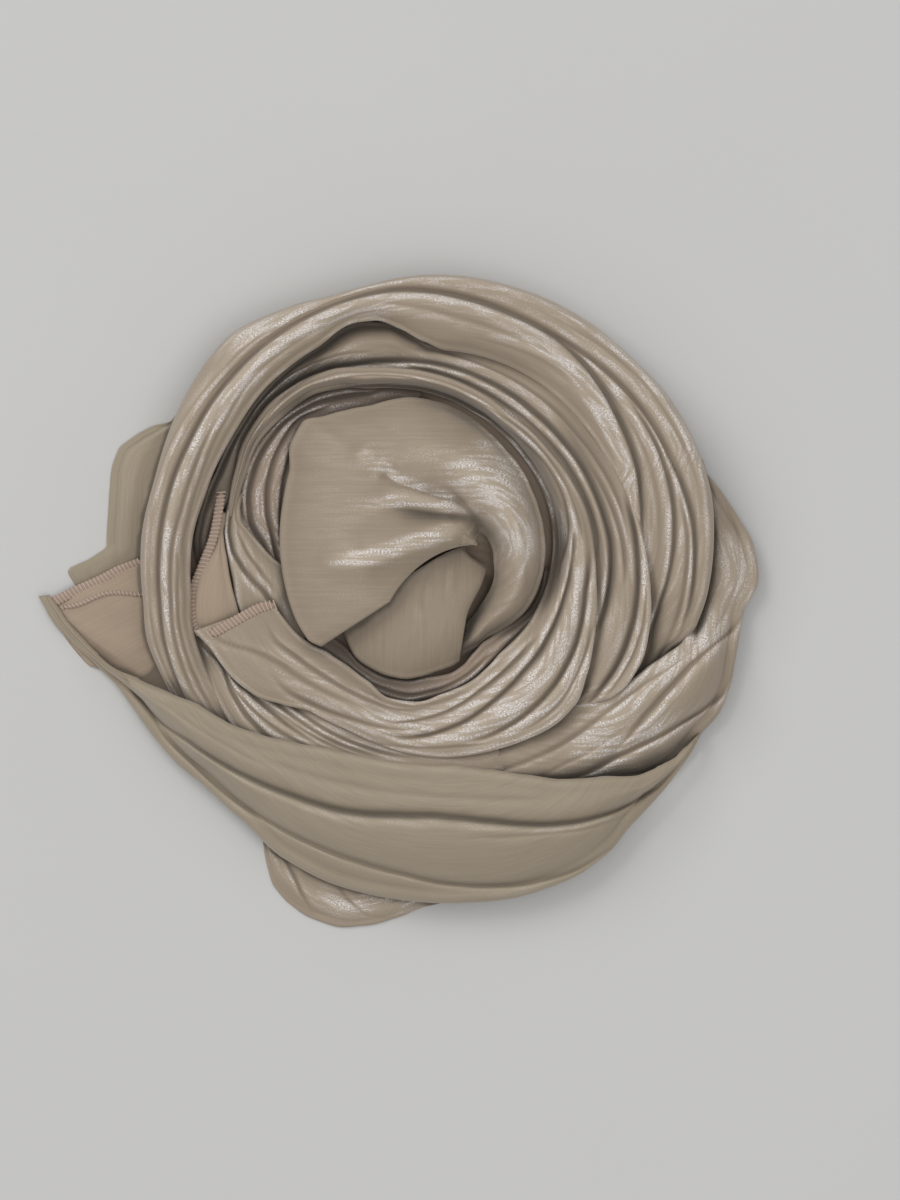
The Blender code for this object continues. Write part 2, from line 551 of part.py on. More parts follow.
def at(table, angle, turn=0):
    """The row of a table at any angle, with a smooth curve between its rows."""
    n = len(table)
    if turn:
        angle = table[0]["angle"] + (angle - table[0]["angle"]) % turn
        closed = table + [dict(table[0], angle=table[0]["angle"] + turn)]
    else:
        closed = table
    k = 0
    while k < len(closed) - 2 and closed[k + 1]["angle"] <= angle:
        k += 1
    a, b = closed[k], closed[k + 1]
    before = closed[k - 1] if k else (closed[n - 1] if turn else a)
    after = closed[k + 2] if k + 2 < len(closed) else (closed[1] if turn else b)
    span = b["angle"] - a["angle"]
    t = min(max((angle - a["angle"]) / span, 0.0), 1.0)
    found = {"angle": angle}
    for name in a:
        if name == "angle":
            continue
        step = b[name] - a[name]
        left = a[name] - before[name]
        right = after[name] - b[name]
        # tangents that never overshoot the rows
        m0 = 0.0 if left * step <= 0 else math.copysign(min(abs(left), abs(step)), step)
        m1 = 0.0 if right * step <= 0 else math.copysign(min(abs(right), abs(step)), step)
        if k == 0 and not turn:
            m0 = step
        if k + 2 >= len(closed) and not turn:
            m1 = step
        found[name] = (
            a[name]
            + m0 * t
            + (3 * step - 2 * m0 - m1) * t * t
            + (m0 + m1 - 2 * step) * t * t * t
        )
    return found


def crown_line(r, out, inner, row, peak):
    """Height of the smooth surface that the crowns of the folds touch."""
    s = min(max((r - inner) / max(out - inner, 0.3), 0.0), 1.0)
    if s > peak:
        return row["z_top"] - (row["z_top"] - row["z_out"]) * ((s - peak) / (1 - peak)) ** 2
    return row["z_top"] - (row["z_top"] - row["z_in"]) * ((peak - s) / peak) ** 2


def folds(row, depth_row, out, inner, peak, lean, per_side):
    """Points from the outer edge to the inner one, as arches between the valleys.
    A point is (radius, height, height of the plainer surface below it)."""
    lines, depths = [out], [0.0]
    for k in (1, 2, 3):
        if f"v{k}" in row:
            lines.append(min(max(row[f"v{k}"], inner + 0.2), out - 0.2))
            depths.append(depth_row.get(f"d{k}", 0.0))
    lines.append(inner)
    depths.append(0.0)
    least = min(0.8, 0.8 * (out - inner) / (len(lines) - 1))
    for k in range(1, len(lines) - 1):
        lines[k] = min(lines[k], lines[k - 1] - least)
    for k in range(len(lines) - 2, 0, -1):
        lines[k] = max(lines[k], lines[k + 1] + least)
    for k in range(1, len(lines) - 1):
        left, right = lines[k - 1] - lines[k], lines[k] - lines[k + 1]
        depths[k] = min(depths[k], 0.45 * max(left, right))
        if k == 1:
            depths[k] *= min(1.0, left / 2.4)
        if k == len(lines) - 2:
            depths[k] *= min(1.0, right / 2.4)
    points = []
    for k in range(len(lines) - 1):
        a, b, da, db = lines[k], lines[k + 1], depths[k], depths[k + 1]
        wide = max(a - b, 0.0)
        crown = a - wide * (lean[k] if k < len(lean) else 0.45)
        sink = max(0.0, min(da, db) - 0.5 * wide)
        if k == 0 or k == len(lines) - 2:
            sink = 0.0
        for side, (e, c, d) in enumerate(((a, crown, da), (b, crown, db))):
            for i in range(per_side):
                t = i / per_side if side == 0 else 1 - i / per_side
                if k == 0 and side == 0 and i == 0:
                    continue
                r = e + (c - e) * t
                dip = d + (sink - d) * math.sin(0.5 * math.pi * t)
                deep = max(dip, da + (db - da) * (a - r) / max(wide, 1e-6))
                top = crown_line(r, out, inner, depth_row, peak)
                points.append((r, top - dip, top - INNER_FOLD * dip - (1 - INNER_FOLD) * deep))
    return points


def rounded(r, z, rim, way, radius, count, tuck):
    """An edge that turns over and down to its rim; way is +1 outwards, -1 inwards."""
    tall = max(z - rim, 0.3)
    wide = min(radius, tall)
    points = []
    for i in range(count):
        t = 1.6 * i / max(count - 1, 1)
        if t <= 1.0:
            a = math.radians(80 - 80 * t)
            points.append((r - way * wide * (1 - math.cos(a)), z - wide * (1 - math.sin(a))))
        else:
            s = (t - 1) / 0.6
            points.append((r - way * tuck * s * s, z - wide - (tall - wide) * s))
    return points


def tall_side(out, top, rim, shoulder, layers, per_layer, groove):
    """The outer side of a heaped bundle: a bulge with folds running along it."""
    points = []
    count = layers * per_layer
    wide = max(out - shoulder, 0.8)
    middle = rim + 0.42 * (top - rim)
    for i in range(count):
        q = i / count
        z = top - (top - rim) * q
        if z > middle:
            s = (z - middle) / (top - middle)
            r = out - wide * (1 - math.sqrt(max(1 - s * s, 0.0)))
        else:
            s = (middle - z) / (middle - rim)
            r = out - FOOT_TUCK * s * s
        sunk = 1 - abs(math.sin(math.pi * q * layers)) ** 0.7
        points.append((r - groove * sunk * min(1, 4 * q, 4 * (1 - q)), z))
    points[0] = (min(points[0][0], shoulder + 0.4), top)
    points.append((out - FOOT_TUCK, rim))
    return points


def section(row, depth_row, shape, wall):
    """One section from the outer rim to the inner rim: the points (radius, height) of
    its outer side, and those of the plain inner side of a wall under them."""
    out, inner = row["out"], row["inner"]
    span = max(out - inner, 0.6)
    wall = min(wall, 0.3 * span)
    roll = min(ROLL, 0.35 * span)
    tight = max(roll - 0.7 * wall, 0.3)
    z_out, z_in, rim = depth_row["z_out"], depth_row["z_in"], depth_row["rim"]
    thin = min(wall, 0.5 * (z_out - rim))
    low = z_in - depth_row["drop"]
    layers = shape.get("layers")
    if layers:
        shoulder = min(row["ridge"], out - 0.8)
        per = shape["per_layer"]
        edge = tall_side(out, z_out, rim, shoulder, layers, per, SIDE_GROOVE)
        back = tall_side(out - wall, z_out - thin, rim, shoulder - wall, layers, per, 0.0)
        top_out, top_back = shoulder, shoulder - wall
    else:
        count = shape.get("edge", 4)
        edge = rounded(out, z_out, rim, 1, roll, count, EDGE_TUCK)
        back = rounded(out - wall, z_out - thin, rim, 1, tight, count, EDGE_TUCK)
        top_out, top_back = out - roll, out - wall - tight
    count = shape.get("lip", 4)
    flat = min(wall, 0.5 * (z_in - low))
    lip = rounded(inner, z_in, low, -1, roll, count, LIP_TUCK)
    under_lip = rounded(inner + wall, z_in - flat, low, -1, tight, count, LIP_TUCK)
    top_in, in_back = inner + roll, inner + wall + tight
    lean, per_side = shape.get("lean", ()), shape.get("per_side", 2)
    middle = folds(row, depth_row, top_out, top_in, shape.get("peak", 0.5), lean, per_side)
    shrink = (top_back - in_back) / max(top_out - top_in, 1e-6)
    under = []
    for r, _, plain in middle:
        s = min(max((r - top_in) / max(top_out - top_in, 1e-6), 0.0), 1.0)
        deep = wall - (wall - thin) * max(0.0, 4 * s - 3) - (wall - flat) * max(0.0, 1 - 4 * s)
        under.append((in_back + (r - top_in) * shrink, plain - deep))
    outer = edge[::-1] + [(r, z) for r, z, _ in middle] + lip
    return outer, back[::-1] + under + under_lip


def place(centre, angle, r, z):
    a = math.radians(angle)
    return Vector((centre[0] + r * math.cos(a), centre[1] + r * math.sin(a), z))


def wall(name, outer, inner, colour):
    """A closed wall between two grids of points of the same size."""
    across, along = len(outer[0]), len(outer)
    points = [p * MM for line in outer for p in line] + [p * MM for line in inner for p in line]
    shift = along * across
    faces = []
    for i in range(along - 1):
        for j in range(across - 1):
            a, b = i * across + j, (i + 1) * across + j
            faces.append((b, b + 1, a + 1, a))
            faces.append((a + shift, a + 1 + shift, b + 1 + shift, b + shift))
    for i in range(along - 1):
        a, b = i * across, (i + 1) * across
        faces.append((a + shift, b + shift, b, a))
        a, b = a + across - 1, b + across - 1
        faces.append((b + shift, a + shift, a, b))
    for j in range(across - 1):
        a = j
        faces.append((a + 1 + shift, a + shift, a, a + 1))
        a = (along - 1) * across + j
        faces.append((a + shift, a + 1 + shift, a + 1, a))
    return solid(name, points, faces, colour)


def solid(name, points, faces, colour):
    mesh = bpy.data.meshes.new(name)
    mesh.from_pydata([tuple(p) for p in points], [], faces)
    mesh.validate()
    piece = bpy.data.objects.new(name, mesh)
    finish = bpy.data.materials.new(name)
    finish.use_nodes = True
    surface = finish.node_tree.nodes["Principled BSDF"]
    surface.inputs["Base Color"].default_value = (*colour, 1.0)
    surface.inputs["Roughness"].default_value = 0.55
    mesh.materials.append(finish)
    for face in mesh.polygons:
        face.use_smooth = False
    collection.objects.link(piece)
    return piece


def creases(angle, r, table):
    """How far the creases of the petal sink the surface at a point."""
    sunk = 0.0
    for c in table:
        if not c["from_r"] - 3 < r < c["to_r"] + 8:
            continue
        if r < c["mid_r"]:
            t = max((r - c["from_r"]) / (c["mid_r"] - c["from_r"]), -0.2)
            line = c["a0"] + (c["a1"] - c["a0"]) * t
        else:
            t = (r - c["mid_r"]) / (c["to_r"] - c["mid_r"])
            line = c["a1"] + (c["a2"] - c["a1"]) * min(t, 1.2)
        away = math.radians(angle - line) * r / c["width"]
        fade = min(1.0, max(0.0, (r - c["from_r"] + 3) / 5)) * min(
            1.0, max(0.0, (c["to_r"] + 8 - r) / 14)
        )
        sunk += c["depth"] * fade / (1 + away * away) ** 1.5
    return sunk


def stretch(name, lines, heights, centre, steps, shape, colour, thick=WALL):
    """A band of cloth: a section at each row and between rows more than steps apart."""
    angles = [lines[0]["angle"]]
    for row in lines[1:]:
        gap = row["angle"] - angles[-1]
        parts = max(1, math.ceil(gap / steps - 0.01))
        angles += [row["angle"] - gap * (parts - k) / parts for k in range(1, parts + 1)]
    outer, inner = [], []
    for angle in angles:
        row, depth_row = at(lines, angle), at(heights, angle)
        points, low = section(row, depth_row, shape, thick)
        if "creases" in shape:
            sunk = [creases(angle, r, shape["creases"]) for r, _ in points]
            points = [(r, z - d) for (r, z), d in zip(points, sunk)]
            low = [(r, z - d) for (r, z), d in zip(low, sunk)]
        span = max(row["out"] - row["inner"], 1e-6)
        for found, line in ((outer, points), (inner, low)):
            placed = []
            for r, z in line:
                turned = angle
                if "start" in row:
                    near = 1 - min(max((r - row["inner"]) / (0.55 * span), 0.0), 1.0)
                    turned += (row["start"] - angle) * near * near
                placed.append(place(centre, turned, r, z))
            found.append(placed)
    return wall(name, outer, inner, colour)


def heap(name, above, colour):
    """The hidden layers as one rounded solid: flat below, layered at its edge and
    just under the stretches that rest on it."""
    points, faces = [], []
    for piece in above:
        first = len(points)
        points += [v.co.copy() for v in piece.data.vertices]
        faces += [tuple(k + first for k in p.vertices) for p in piece.data.polygons]
    tree = BVHTree.FromPolygons(points, faces)

    def under(x, y):
        hit = tree.ray_cast(Vector((x * MM, y * MM, -0.01)), Vector((0, 0, 1)))[0]
        return None if hit is None else hit.z / MM

    around = HEAP_SIDES
    step = 360 / around
    edges = [at(HEAP_EDGE, i * step, 360)["edge"] for i in range(around)]
    tops = []
    for i in range(around):
        near = (edges[i - 1], edges[i], edges[(i + 1) % around])
        line = []
        for j in range(len(HEAP_RINGS)):
            far = max(near) * (HEAP_RINGS[j - 1] if j else 1.0)
            close = min(near) * (HEAP_RINGS[j + 1] if j + 1 < len(HEAP_RINGS) else 0.0)
            found = []
            count = math.ceil((far - close) / SAMPLE)
            for da in (-1, -0.75, -0.5, -0.25, 0, 0.25, 0.5, 0.75, 1):
                for k in range(count + 1):
                    p = place(CENTRE, (i + da) * step, far + (close - far) * k / count, 0)
                    z = under(p.x, p.y)
                    if z is not None:
                        found.append(z)
            line.append(min(found) - HEAP_GAP if found else HEAP_OPEN)
        tops.append(line)
    # never steeper than the cloth would heap
    for _ in range(3):
        for i in range(around):
            for j in range(len(HEAP_RINGS)):
                near = [tops[i - 1][j], tops[(i + 1) % around][j]]
                if j:
                    near.append(tops[i][j - 1])
                if j + 1 < len(HEAP_RINGS):
                    near.append(tops[i][j + 1])
                tops[i][j] = min(tops[i][j], sum(near) / len(near) + HEAP_RISE)
    points, faces = [], []
    tall = HEAP_BASE / HEAP_LAYERS
    for i in range(around):
        angle, edge = i * step, edges[i]
        ring = [(edge - HEAP_FOOT, 0.0)]
        for k in range(HEAP_LAYERS):
            face = edge - HEAP_INSET * k
            ring.append((face, tall * k + HEAP_ROUND))
            ring.append((face, tall * (k + 1) - HEAP_ROUND))
            ring.append((face - HEAP_NOTCH, tall * (k + 1)))
        ring += [(edge * share, max(z, 1.0)) for share, z in zip(HEAP_RINGS, tops[i])]
        points += [place(CENTRE, angle, r, z) * MM for r, z in ring]
    across = len(points) // around
    crown = min(sum(t[-1] for t in tops) / around, min(t[-1] for t in tops) + 0.5)
    points.append(Vector((CENTRE[0], CENTRE[1], crown)) * MM)
    points.append(Vector((CENTRE[0], CENTRE[1], 0.0)) * MM)
    top, bottom = len(points) - 2, len(points) - 1
    for i in range(around):
        k = (i + 1) % around
        for j in range(across - 1):
            a, b = i * across + j, k * across + j
            faces.append((a, b, b + 1, a + 1))
        faces.append((i * across + across - 1, k * across + across - 1, top))
        faces.append((k * across, i * across, bottom))
    return solid(name, points, faces, colour)


for start in list(bpy.data.objects):
    bpy.data.objects.remove(start)
collection = bpy.data.collections.new("wound_scarf")
bpy.context.scene.collection.children.link(collection)

CHAMPAGNE = (0.42, 0.35, 0.28)
PALE = (0.47, 0.40, 0.33)
DIM = (0.34, 0.28, 0.22)

above = [
    stretch("outer_coil", OUTER_COIL, OUTER_COIL_Z, CENTRE, 10,
            {"layers": 3, "per_layer": 2, "lip": 3, "lean": (0.4, 0.5, 0.4), "peak": 0.55},
            CHAMPAGNE),
    stretch("middle_coil", MIDDLE_COIL, MIDDLE_COIL_Z, CENTRE, 12,
            {"edge": 3, "lip": 3, "lean": (0.4, 0.5, 0.6), "peak": 0.5}, DIM),
    stretch("inner_coil", INNER_COIL, INNER_COIL_Z, CENTRE, 15,
            {"edge": 3, "lip": 3, "lean": (0.45, 0.5, 0.35), "peak": 0.6}, PALE),
    stretch("lower_sweep", LOWER_SWEEP, LOWER_SWEEP_Z, CENTRE, 10,
            {"edge": 4, "lip": 3, "lean": (0.5, 0.5, 0.6), "peak": 0.3}, CHAMPAGNE),
    stretch("right_turn", RIGHT_TURN, RIGHT_TURN_Z, CENTRE, 8,
            {"edge": 4, "lip": 3, "lean": (0.5, 0.5, 0.5, 0.5), "peak": 0.35}, CHAMPAGNE),
    stretch("lower_left_folds", LOWER_LEFT_FOLDS, LOWER_LEFT_FOLDS_Z, CENTRE, 12,
            {"edge": 2, "lip": 2, "lean": (0.5, 0.5, 0.5)}, DIM),
    stretch("left_folds", LEFT_FOLDS, LEFT_FOLDS_Z, CENTRE, 12,
            {"edge": 2, "lip": 2, "lean": (0.5, 0.5)}, DIM),
    stretch("hem_corner", HEM_CORNER, HEM_CORNER_Z, CENTRE, 8,
            {"edge": 2, "lip": 2, "lean": (0.5,)}, PALE, THIN),
    stretch("nest_layer", NEST_LAYER, NEST_LAYER_Z, CENTRE, 12,
            {"edge": 2, "lip": 3, "lean": (0.5,)}, DIM, THIN),
    stretch("centre_petal", PETAL, PETAL, NECK, 18,
            {"edge": 4, "lip": 2, "lean": (0.5,), "per_side": 3, "peak": 0.6,
             "creases": PETAL_CREASES}, PALE),
    stretch("centre_tongue", TONGUE, TONGUE, NECK, 12,
            {"edge": 3, "lip": 2, "lean": (0.5,), "per_side": 3}, CHAMPAGNE),
    stretch("back_left_flap", BACK_LEFT_FLAP, BACK_LEFT_FLAP_Z, CENTRE, 6,
            {"edge": 3, "lip": 2, "lean": (0.5,)}, CHAMPAGNE, THIN),
    stretch("bottom_corner", BOTTOM_CORNER, BOTTOM_CORNER_Z, CENTRE, 6,
            {"edge": 3, "lip": 2, "lean": (0.5,)}, CHAMPAGNE, THIN),
    stretch("left_corner", LEFT_CORNER, LEFT_CORNER, TIP, 16,
            {"edge": 2, "lip": 2, "lean": (0.5,)}, PALE, THIN),
]
heap("hidden_layers", above, DIM)
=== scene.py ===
"""A long sheer shimmer scarf, gathered, wound into a loose rosette and laid on a table.

Every stretch of cloth that shows is a thin shell over the solid that it stands for.  A
stretch is a row of sections round a centre.  The short tables give its edges and heights,
and the fold lines give the valleys that run along it, in millimetres and in degrees from
the +X axis.  The tables were read from the photograph, at 0.38 mm for each pixel.
"""

import math

import bmesh
import bpy
import numpy as np
from bpy.props import FloatProperty, FloatVectorProperty, PointerProperty
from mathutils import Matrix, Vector, noise
from mathutils.bvhtree import BVHTree


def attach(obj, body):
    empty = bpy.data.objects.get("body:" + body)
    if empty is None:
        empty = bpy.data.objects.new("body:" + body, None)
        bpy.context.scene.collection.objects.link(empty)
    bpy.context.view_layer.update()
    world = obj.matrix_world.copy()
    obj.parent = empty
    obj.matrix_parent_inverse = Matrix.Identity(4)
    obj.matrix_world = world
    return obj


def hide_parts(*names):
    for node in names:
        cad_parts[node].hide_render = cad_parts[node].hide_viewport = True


bl_info = {
    "name": "Wound shimmer scarf",
    "version": (1, 0, 0),
    "blender": (4, 5, 0),
    "location": "View3D > Sidebar > Scarf",
    "description": "Builds a sheer scarf wound into a rosette, laid on a table",
    "category": "Object",
}

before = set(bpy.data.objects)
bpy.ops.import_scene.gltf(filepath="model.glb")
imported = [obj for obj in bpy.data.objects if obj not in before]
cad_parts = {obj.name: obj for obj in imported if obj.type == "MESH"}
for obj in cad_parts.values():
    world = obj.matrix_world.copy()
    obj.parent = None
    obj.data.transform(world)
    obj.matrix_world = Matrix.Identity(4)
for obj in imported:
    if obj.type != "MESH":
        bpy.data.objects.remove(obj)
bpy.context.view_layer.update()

MM = 0.001
CENTRE = (12.0, 21.7)  # middle of the winding
NECK = (30.2, 21.7)  # where the inner end is pinched
TIP = (-137.3, 0.8)  # outermost point of the hemmed left corner
ROLL = 1.9  # radius of a rolled edge
THICK = 0.35  # thickness of the cloth with its threads
CELL = 1.5  # cell of the height map that the hollows are read from
HOLLOW_REACH = 4.5  # half the width of the widest gap that counts as a hollow
FOOT_TUCK = 2.6  # how far the tall outer side draws in at its foot
HOLLOW_DEPTH = 6.0  # how far below the folds round it a point lies wholly in shade
MAIN_FOLDS = 1.2  # power that makes the main folds stand out from the lesser ones
FOLD_RUN = 9  # degrees by which a fold line runs on past each of its ends
FOLD_FADE = 16  # degrees over which it fades there
EDGE_TURN = 80  # degrees by which the cloth turns over at an edge
SHOULDER = 0.8  # least width of the rounded shoulder of a heaped bundle
FULLEST = 0.42  # share of its height at which a heaped bundle bulges most
SKIN = 0.08  # how far the cloth lies below the form that it is laid on
TABLE_GAP = 0.15  # least height of the cloth above the table
DOWN = Vector((0, 0, -1))


def rows(names, *lines):
    """A table as one list of values for each named column."""
    return {name: [line[k] for line in lines] for k, name in enumerate(names.split())}


def fold(depth, outer_reach, inner_reach, *line):
    """A valley along the cloth: its depth, how far it reaches outwards and inwards, and
    the (angle, radius) points that it follows."""
    return depth, outer_reach, inner_reach, [p[0] for p in line], [p[1] for p in line]


def crease(depth, left, right, fade_in, fade_out, *line):
    """A valley drawn in plan: its depth, how far it reaches on the left and on the right
    of its way, the shares of its length over which it comes and goes, and its points.
    A negative depth is a ridge."""
    return depth, left, right, fade_in, fade_out, line


# The stretches of cloth.  The first table of each gives its outer and inner edge in plan, and
# the ridge of a heaped bundle, as distances from the centre.  The second gives the heights of
# its outer edge, its top, its inner edge and its outer rim, and how far the inner edge drops.
OUTER_COIL = rows(
    "angle out ridge inner",
    (-30, 99.6, 97.3, 92.2), (-25, 99.6, 97.3, 91.0), (-20, 103.7, 101.1, 89.1), (-17, 106.0, 103.0, 88.0),
    (-10, 107.2, 103.7, 85.1), (0, 107.9, 104.5, 81.3), (10, 108.7, 104.5, 78.7), (20, 108.3, 104.5, 76.4),
    (30, 107.2, 103.4, 74.9), (45, 104.7, 101.6, 74.7), (60, 104.1, 100.7, 74.9), (75, 103.5, 100.4, 74.9),
    (85, 103.2, 100.3, 74.9), (92, 102.8, 100.2, 78.1), (98, 102.4, 100.0, 83.6), (104, 101.8, 99.8, 88.4),
    (110, 102.1, 99.6, 89.7), (120, 105.3, 99.9, 87.0), (135, 110.6, 100.1, 87.0),
    (150, 109.1, 101.8, 86.3), (165, 107.9, 104.1, 87.8), (180, 110.2, 106.4, 91.2),
    (190, 111.3, 108.3, 93.1), (200, 114.0, 111.0, 96.5), (210, 114.0, 111.7, 98.4),
    (225, 113.2, 110.6, 102.6),
)
OUTER_COIL_Z = rows(
    "angle z_out z_top z_in rim drop",
    (-30, 13.0, 14.5, 13.5, 11.0, 2.5), (-25, 15.0, 16.5, 15.5, 12.0, 3.0),
    (-20, 17.5, 19.0, 17.5, 12.8, 4.0), (-10, 22.5, 24.0, 20.5, 12.8, 4.5),
    (5, 26.0, 27.5, 23.0, 12.8, 5.0), (15, 27.3, 29.0, 24.5, 12.8, 5.0), (22, 27.8, 29.5, 25.0, 3.6, 5.0),
    (45, 28.8, 30.5, 25.5, 3.6, 6.0), (62, 29.2, 31.0, 25.5, 3.6, 6.0), (90, 29.4, 31.0, 25.5, 3.6, 6.5),
    (120, 29.2, 31.0, 26.5, 3.6, 7.0), (150, 28.9, 30.5, 26.0, 3.6, 7.0), (180, 26.6, 28.5, 24.0, 3.6, 6.0),
    (198, 21.5, 25.0, 21.0, 3.6, 4.0), (205, 18.5, 22.5, 19.5, 3.6, 3.0), (212, 15.0, 18.5, 17.5, 3.6, 2.5),
    (225, 10.5, 13.5, 13.0, 3.6, 2.0),
)
MIDDLE_COIL = rows(
    "angle out inner",
    (-46, 84.4, 79.8), (-43, 86.8, 79.2), (-40, 89.5, 77.3), (-35, 91.2, 74.7), (-30, 91.2, 72.0),
    (-20, 88.2, 67.5), (-10, 84.2, 64.0), (0, 80.8, 62.1), (10, 78.1, 61.0), (20, 75.8, 59.5),
    (35, 74.1, 58.0), (50, 74.3, 57.2), (65, 74.3, 59.5), (80, 74.3, 62.7), (90, 75.6, 65.4),
    (95, 79.8, 66.8), (101, 85.9, 68.6), (110, 88.9, 72.0), (120, 86.5, 76.8), (130, 86.6, 79.8),
    (140, 86.1, 81.7), (150, 85.7, 81.5), (160, 85.7, 78.8), (167, 87.5, 79.0), (172, 88.3, 82.0),
    (178, 89.3, 83.6),
)
MIDDLE_COIL_Z = rows(
    "angle z_out z_top z_in rim drop",
    (-46, 19.5, 19.0, 17.8, 15.5, 2.0), (-40, 23.0, 22.5, 20.0, 18.0, 3.0),
    (-20, 24.0, 23.5, 20.5, 19.0, 3.0), (0, 24.5, 24.5, 21.0, 19.0, 3.0), (20, 23.5, 25.0, 21.5, 18.5, 3.0),
    (60, 22.5, 24.5, 21.0, 17.5, 3.0), (85, 21.0, 23.5, 20.5, 16.0, 3.0), (98, 16.0, 21.5, 19.0, 12.5, 3.0),
    (110, 14.5, 20.0, 17.5, 11.5, 2.5), (130, 13.5, 16.5, 15.5, 10.5, 2.5),
    (150, 13.0, 15.0, 14.0, 10.5, 2.5), (178, 12.0, 13.5, 12.5, 9.5, 2.0),
)
INNER_COIL = rows(
    "angle out inner",
    (200, 95.0, 63.5), (206, 91.5, 62.1), (213, 90.1, 60.7), (220, 87.4, 58.7), (227, 82.1, 56.1),
    (235, 77.1, 55.5), (245, 76.4, 56.6), (255, 77.5, 60.0), (265, 79.2, 59.7), (275, 80.4, 56.5),
    (285, 80.9, 54.3), (295, 81.7, 51.3), (305, 82.5, 48.6), (312, 81.4, 48.2), (320, 76.8, 47.9),
    (330, 71.4, 47.1), (340, 66.9, 46.7), (350, 63.5, 46.6), (360, 61.6, 46.8), (370, 60.4, 47.0),
    (385, 58.3, 47.4), (400, 57.0, 48.4), (415, 57.2, 50.0), (430, 60.0, 52.8), (445, 63.5, 56.4),
    (460, 67.6, 60.4), (470, 71.4, 63.5), (480, 76.2, 68.8), (490, 79.2, 73.0), (500, 81.1, 74.5),
    (510, 80.9, 76.0), (520, 78.8, 75.0), (528, 77.7, 74.9),
)
INNER_COIL_Z = rows(
    "angle z_out z_top z_in rim drop",
    (200, 20.8, 22.2, 20.2, 19.0, 0.8), (212, 22.0, 23.8, 20.4, 19.2, 1.2),
    (225, 23.0, 25.3, 20.2, 20.0, 3.0), (240, 23.5, 26.5, 20.5, 20.2, 4.5),
    (270, 24.5, 27.5, 22.5, 20.5, 4.0), (300, 25.0, 27.8, 22.0, 20.5, 3.5),
    (325, 25.3, 27.3, 20.5, 20.5, 3.5), (345, 25.0, 27.0, 15.5, 20.5, 3.0),
    (360, 24.5, 26.6, 12.5, 20.0, 3.0), (385, 24.5, 26.0, 11.5, 19.5, 3.0),
    (420, 24.2, 25.5, 12.5, 19.5, 3.0), (450, 23.5, 24.8, 15.0, 19.0, 3.5),
    (475, 21.5, 23.2, 17.5, 17.5, 3.5), (500, 19.2, 20.8, 16.5, 15.5, 3.0),
    (520, 17.0, 18.2, 15.8, 13.8, 2.2), (528, 16.2, 16.8, 15.4, 13.6, 1.6),
)
LOWER_SWEEP = rows(
    "angle out inner",
    (187.4, 151.1, 148.2), (190, 148.6, 144.8), (195, 142.5, 138.7), (200, 135.7, 132.2),
    (205, 131.1, 122.7), (210, 129.6, 114.0), (215, 128.8, 107.2), (220, 128.1, 103.7), (227, 126.2, 98.2),
    (235, 127.3, 92.0), (245, 132.2, 86.6), (255, 134.9, 84.4), (265, 136.0, 83.8), (275, 137.2, 84.4),
    (285, 138.7, 88.9), (293, 138.4, 95.5), (300, 136.0, 103.4), (306, 131.8, 109.6), (313, 129.6, 119.7),
    (319, 127.9, 124.8),
)
LOWER_SWEEP_Z = rows(
    "angle z_out z_top z_in rim drop",
    (187.4, 3.3, 3.6, 3.3, 2.3, 0.8), (195, 4.2, 5.8, 5.0, 2.5, 1.2), (201, 6.2, 11.0, 10.2, 2.8, 2.0),
    (206, 8.5, 17.2, 17.0, 3.0, 3.0), (211, 11.0, 22.0, 22.2, 5.0, 3.0), (220, 13.0, 25.5, 24.4, 6.6, 2.6),
    (235, 14.0, 27.0, 25.0, 7.0, 2.8), (270, 14.5, 27.5, 25.2, 7.0, 3.0), (290, 14.5, 26.5, 25.0, 7.0, 3.0),
    (300, 14.0, 25.0, 24.0, 7.0, 3.0), (308, 13.2, 22.0, 21.5, 7.6, 2.8), (314, 13.0, 18.0, 18.0, 8.6, 2.0),
    (319, 12.0, 13.6, 13.4, 9.6, 1.2),
)
RIGHT_TURN = rows(
    "angle out inner",
    (-77, 93.5, 79.4), (-70, 97.7, 79.4), (-65, 103.0, 80.0), (-60, 108.7, 80.8), (-55, 113.6, 81.0),
    (-50, 118.9, 81.3), (-46, 123.5, 84.5), (-43, 125.2, 88.0), (-40, 126.2, 91.0), (-35, 126.5, 93.1),
    (-30, 128.1, 95.8), (-25, 126.9, 100.3), (-20, 124.6, 104.7), (-17, 123.5, 104.1),
    (-12.5, 122.7, 103.9), (-6, 126.5, 103.9), (0, 123.9, 104.1), (5, 118.9, 104.5), (10, 114.0, 104.9),
    (14.5, 109.6, 105.4),
)
RIGHT_TURN_Z = rows(
    "angle z_out z_top z_in rim drop",
    (-77, 21.0, 22.6, 21.0, 17.0, 2.0), (-65, 19.5, 21.8, 20.2, 15.0, 2.2),
    (-55, 14.5, 19.8, 18.0, 10.0, 2.2), (-50, 11.0, 20.4, 18.6, 8.0, 2.2), (-44, 7.5, 20.6, 19.6, 5.0, 2.4),
    (-39, 7.2, 21.6, 20.8, 4.4, 2.6), (-30, 9.0, 22.6, 21.6, 5.5, 2.6), (-25, 9.5, 22.2, 20.8, 6.0, 2.4),
    (-20, 9.5, 19.2, 17.4, 6.5, 2.0), (-16, 9.5, 16.0, 9.8, 6.5, 1.2), (-10, 9.0, 14.6, 9.0, 5.4, 1.2),
    (0, 8.5, 13.6, 8.8, 5.4, 1.2), (8, 7.5, 10.8, 8.4, 4.6, 1.2), (14.5, 6.8, 8.0, 7.6, 4.4, 1.2),
)
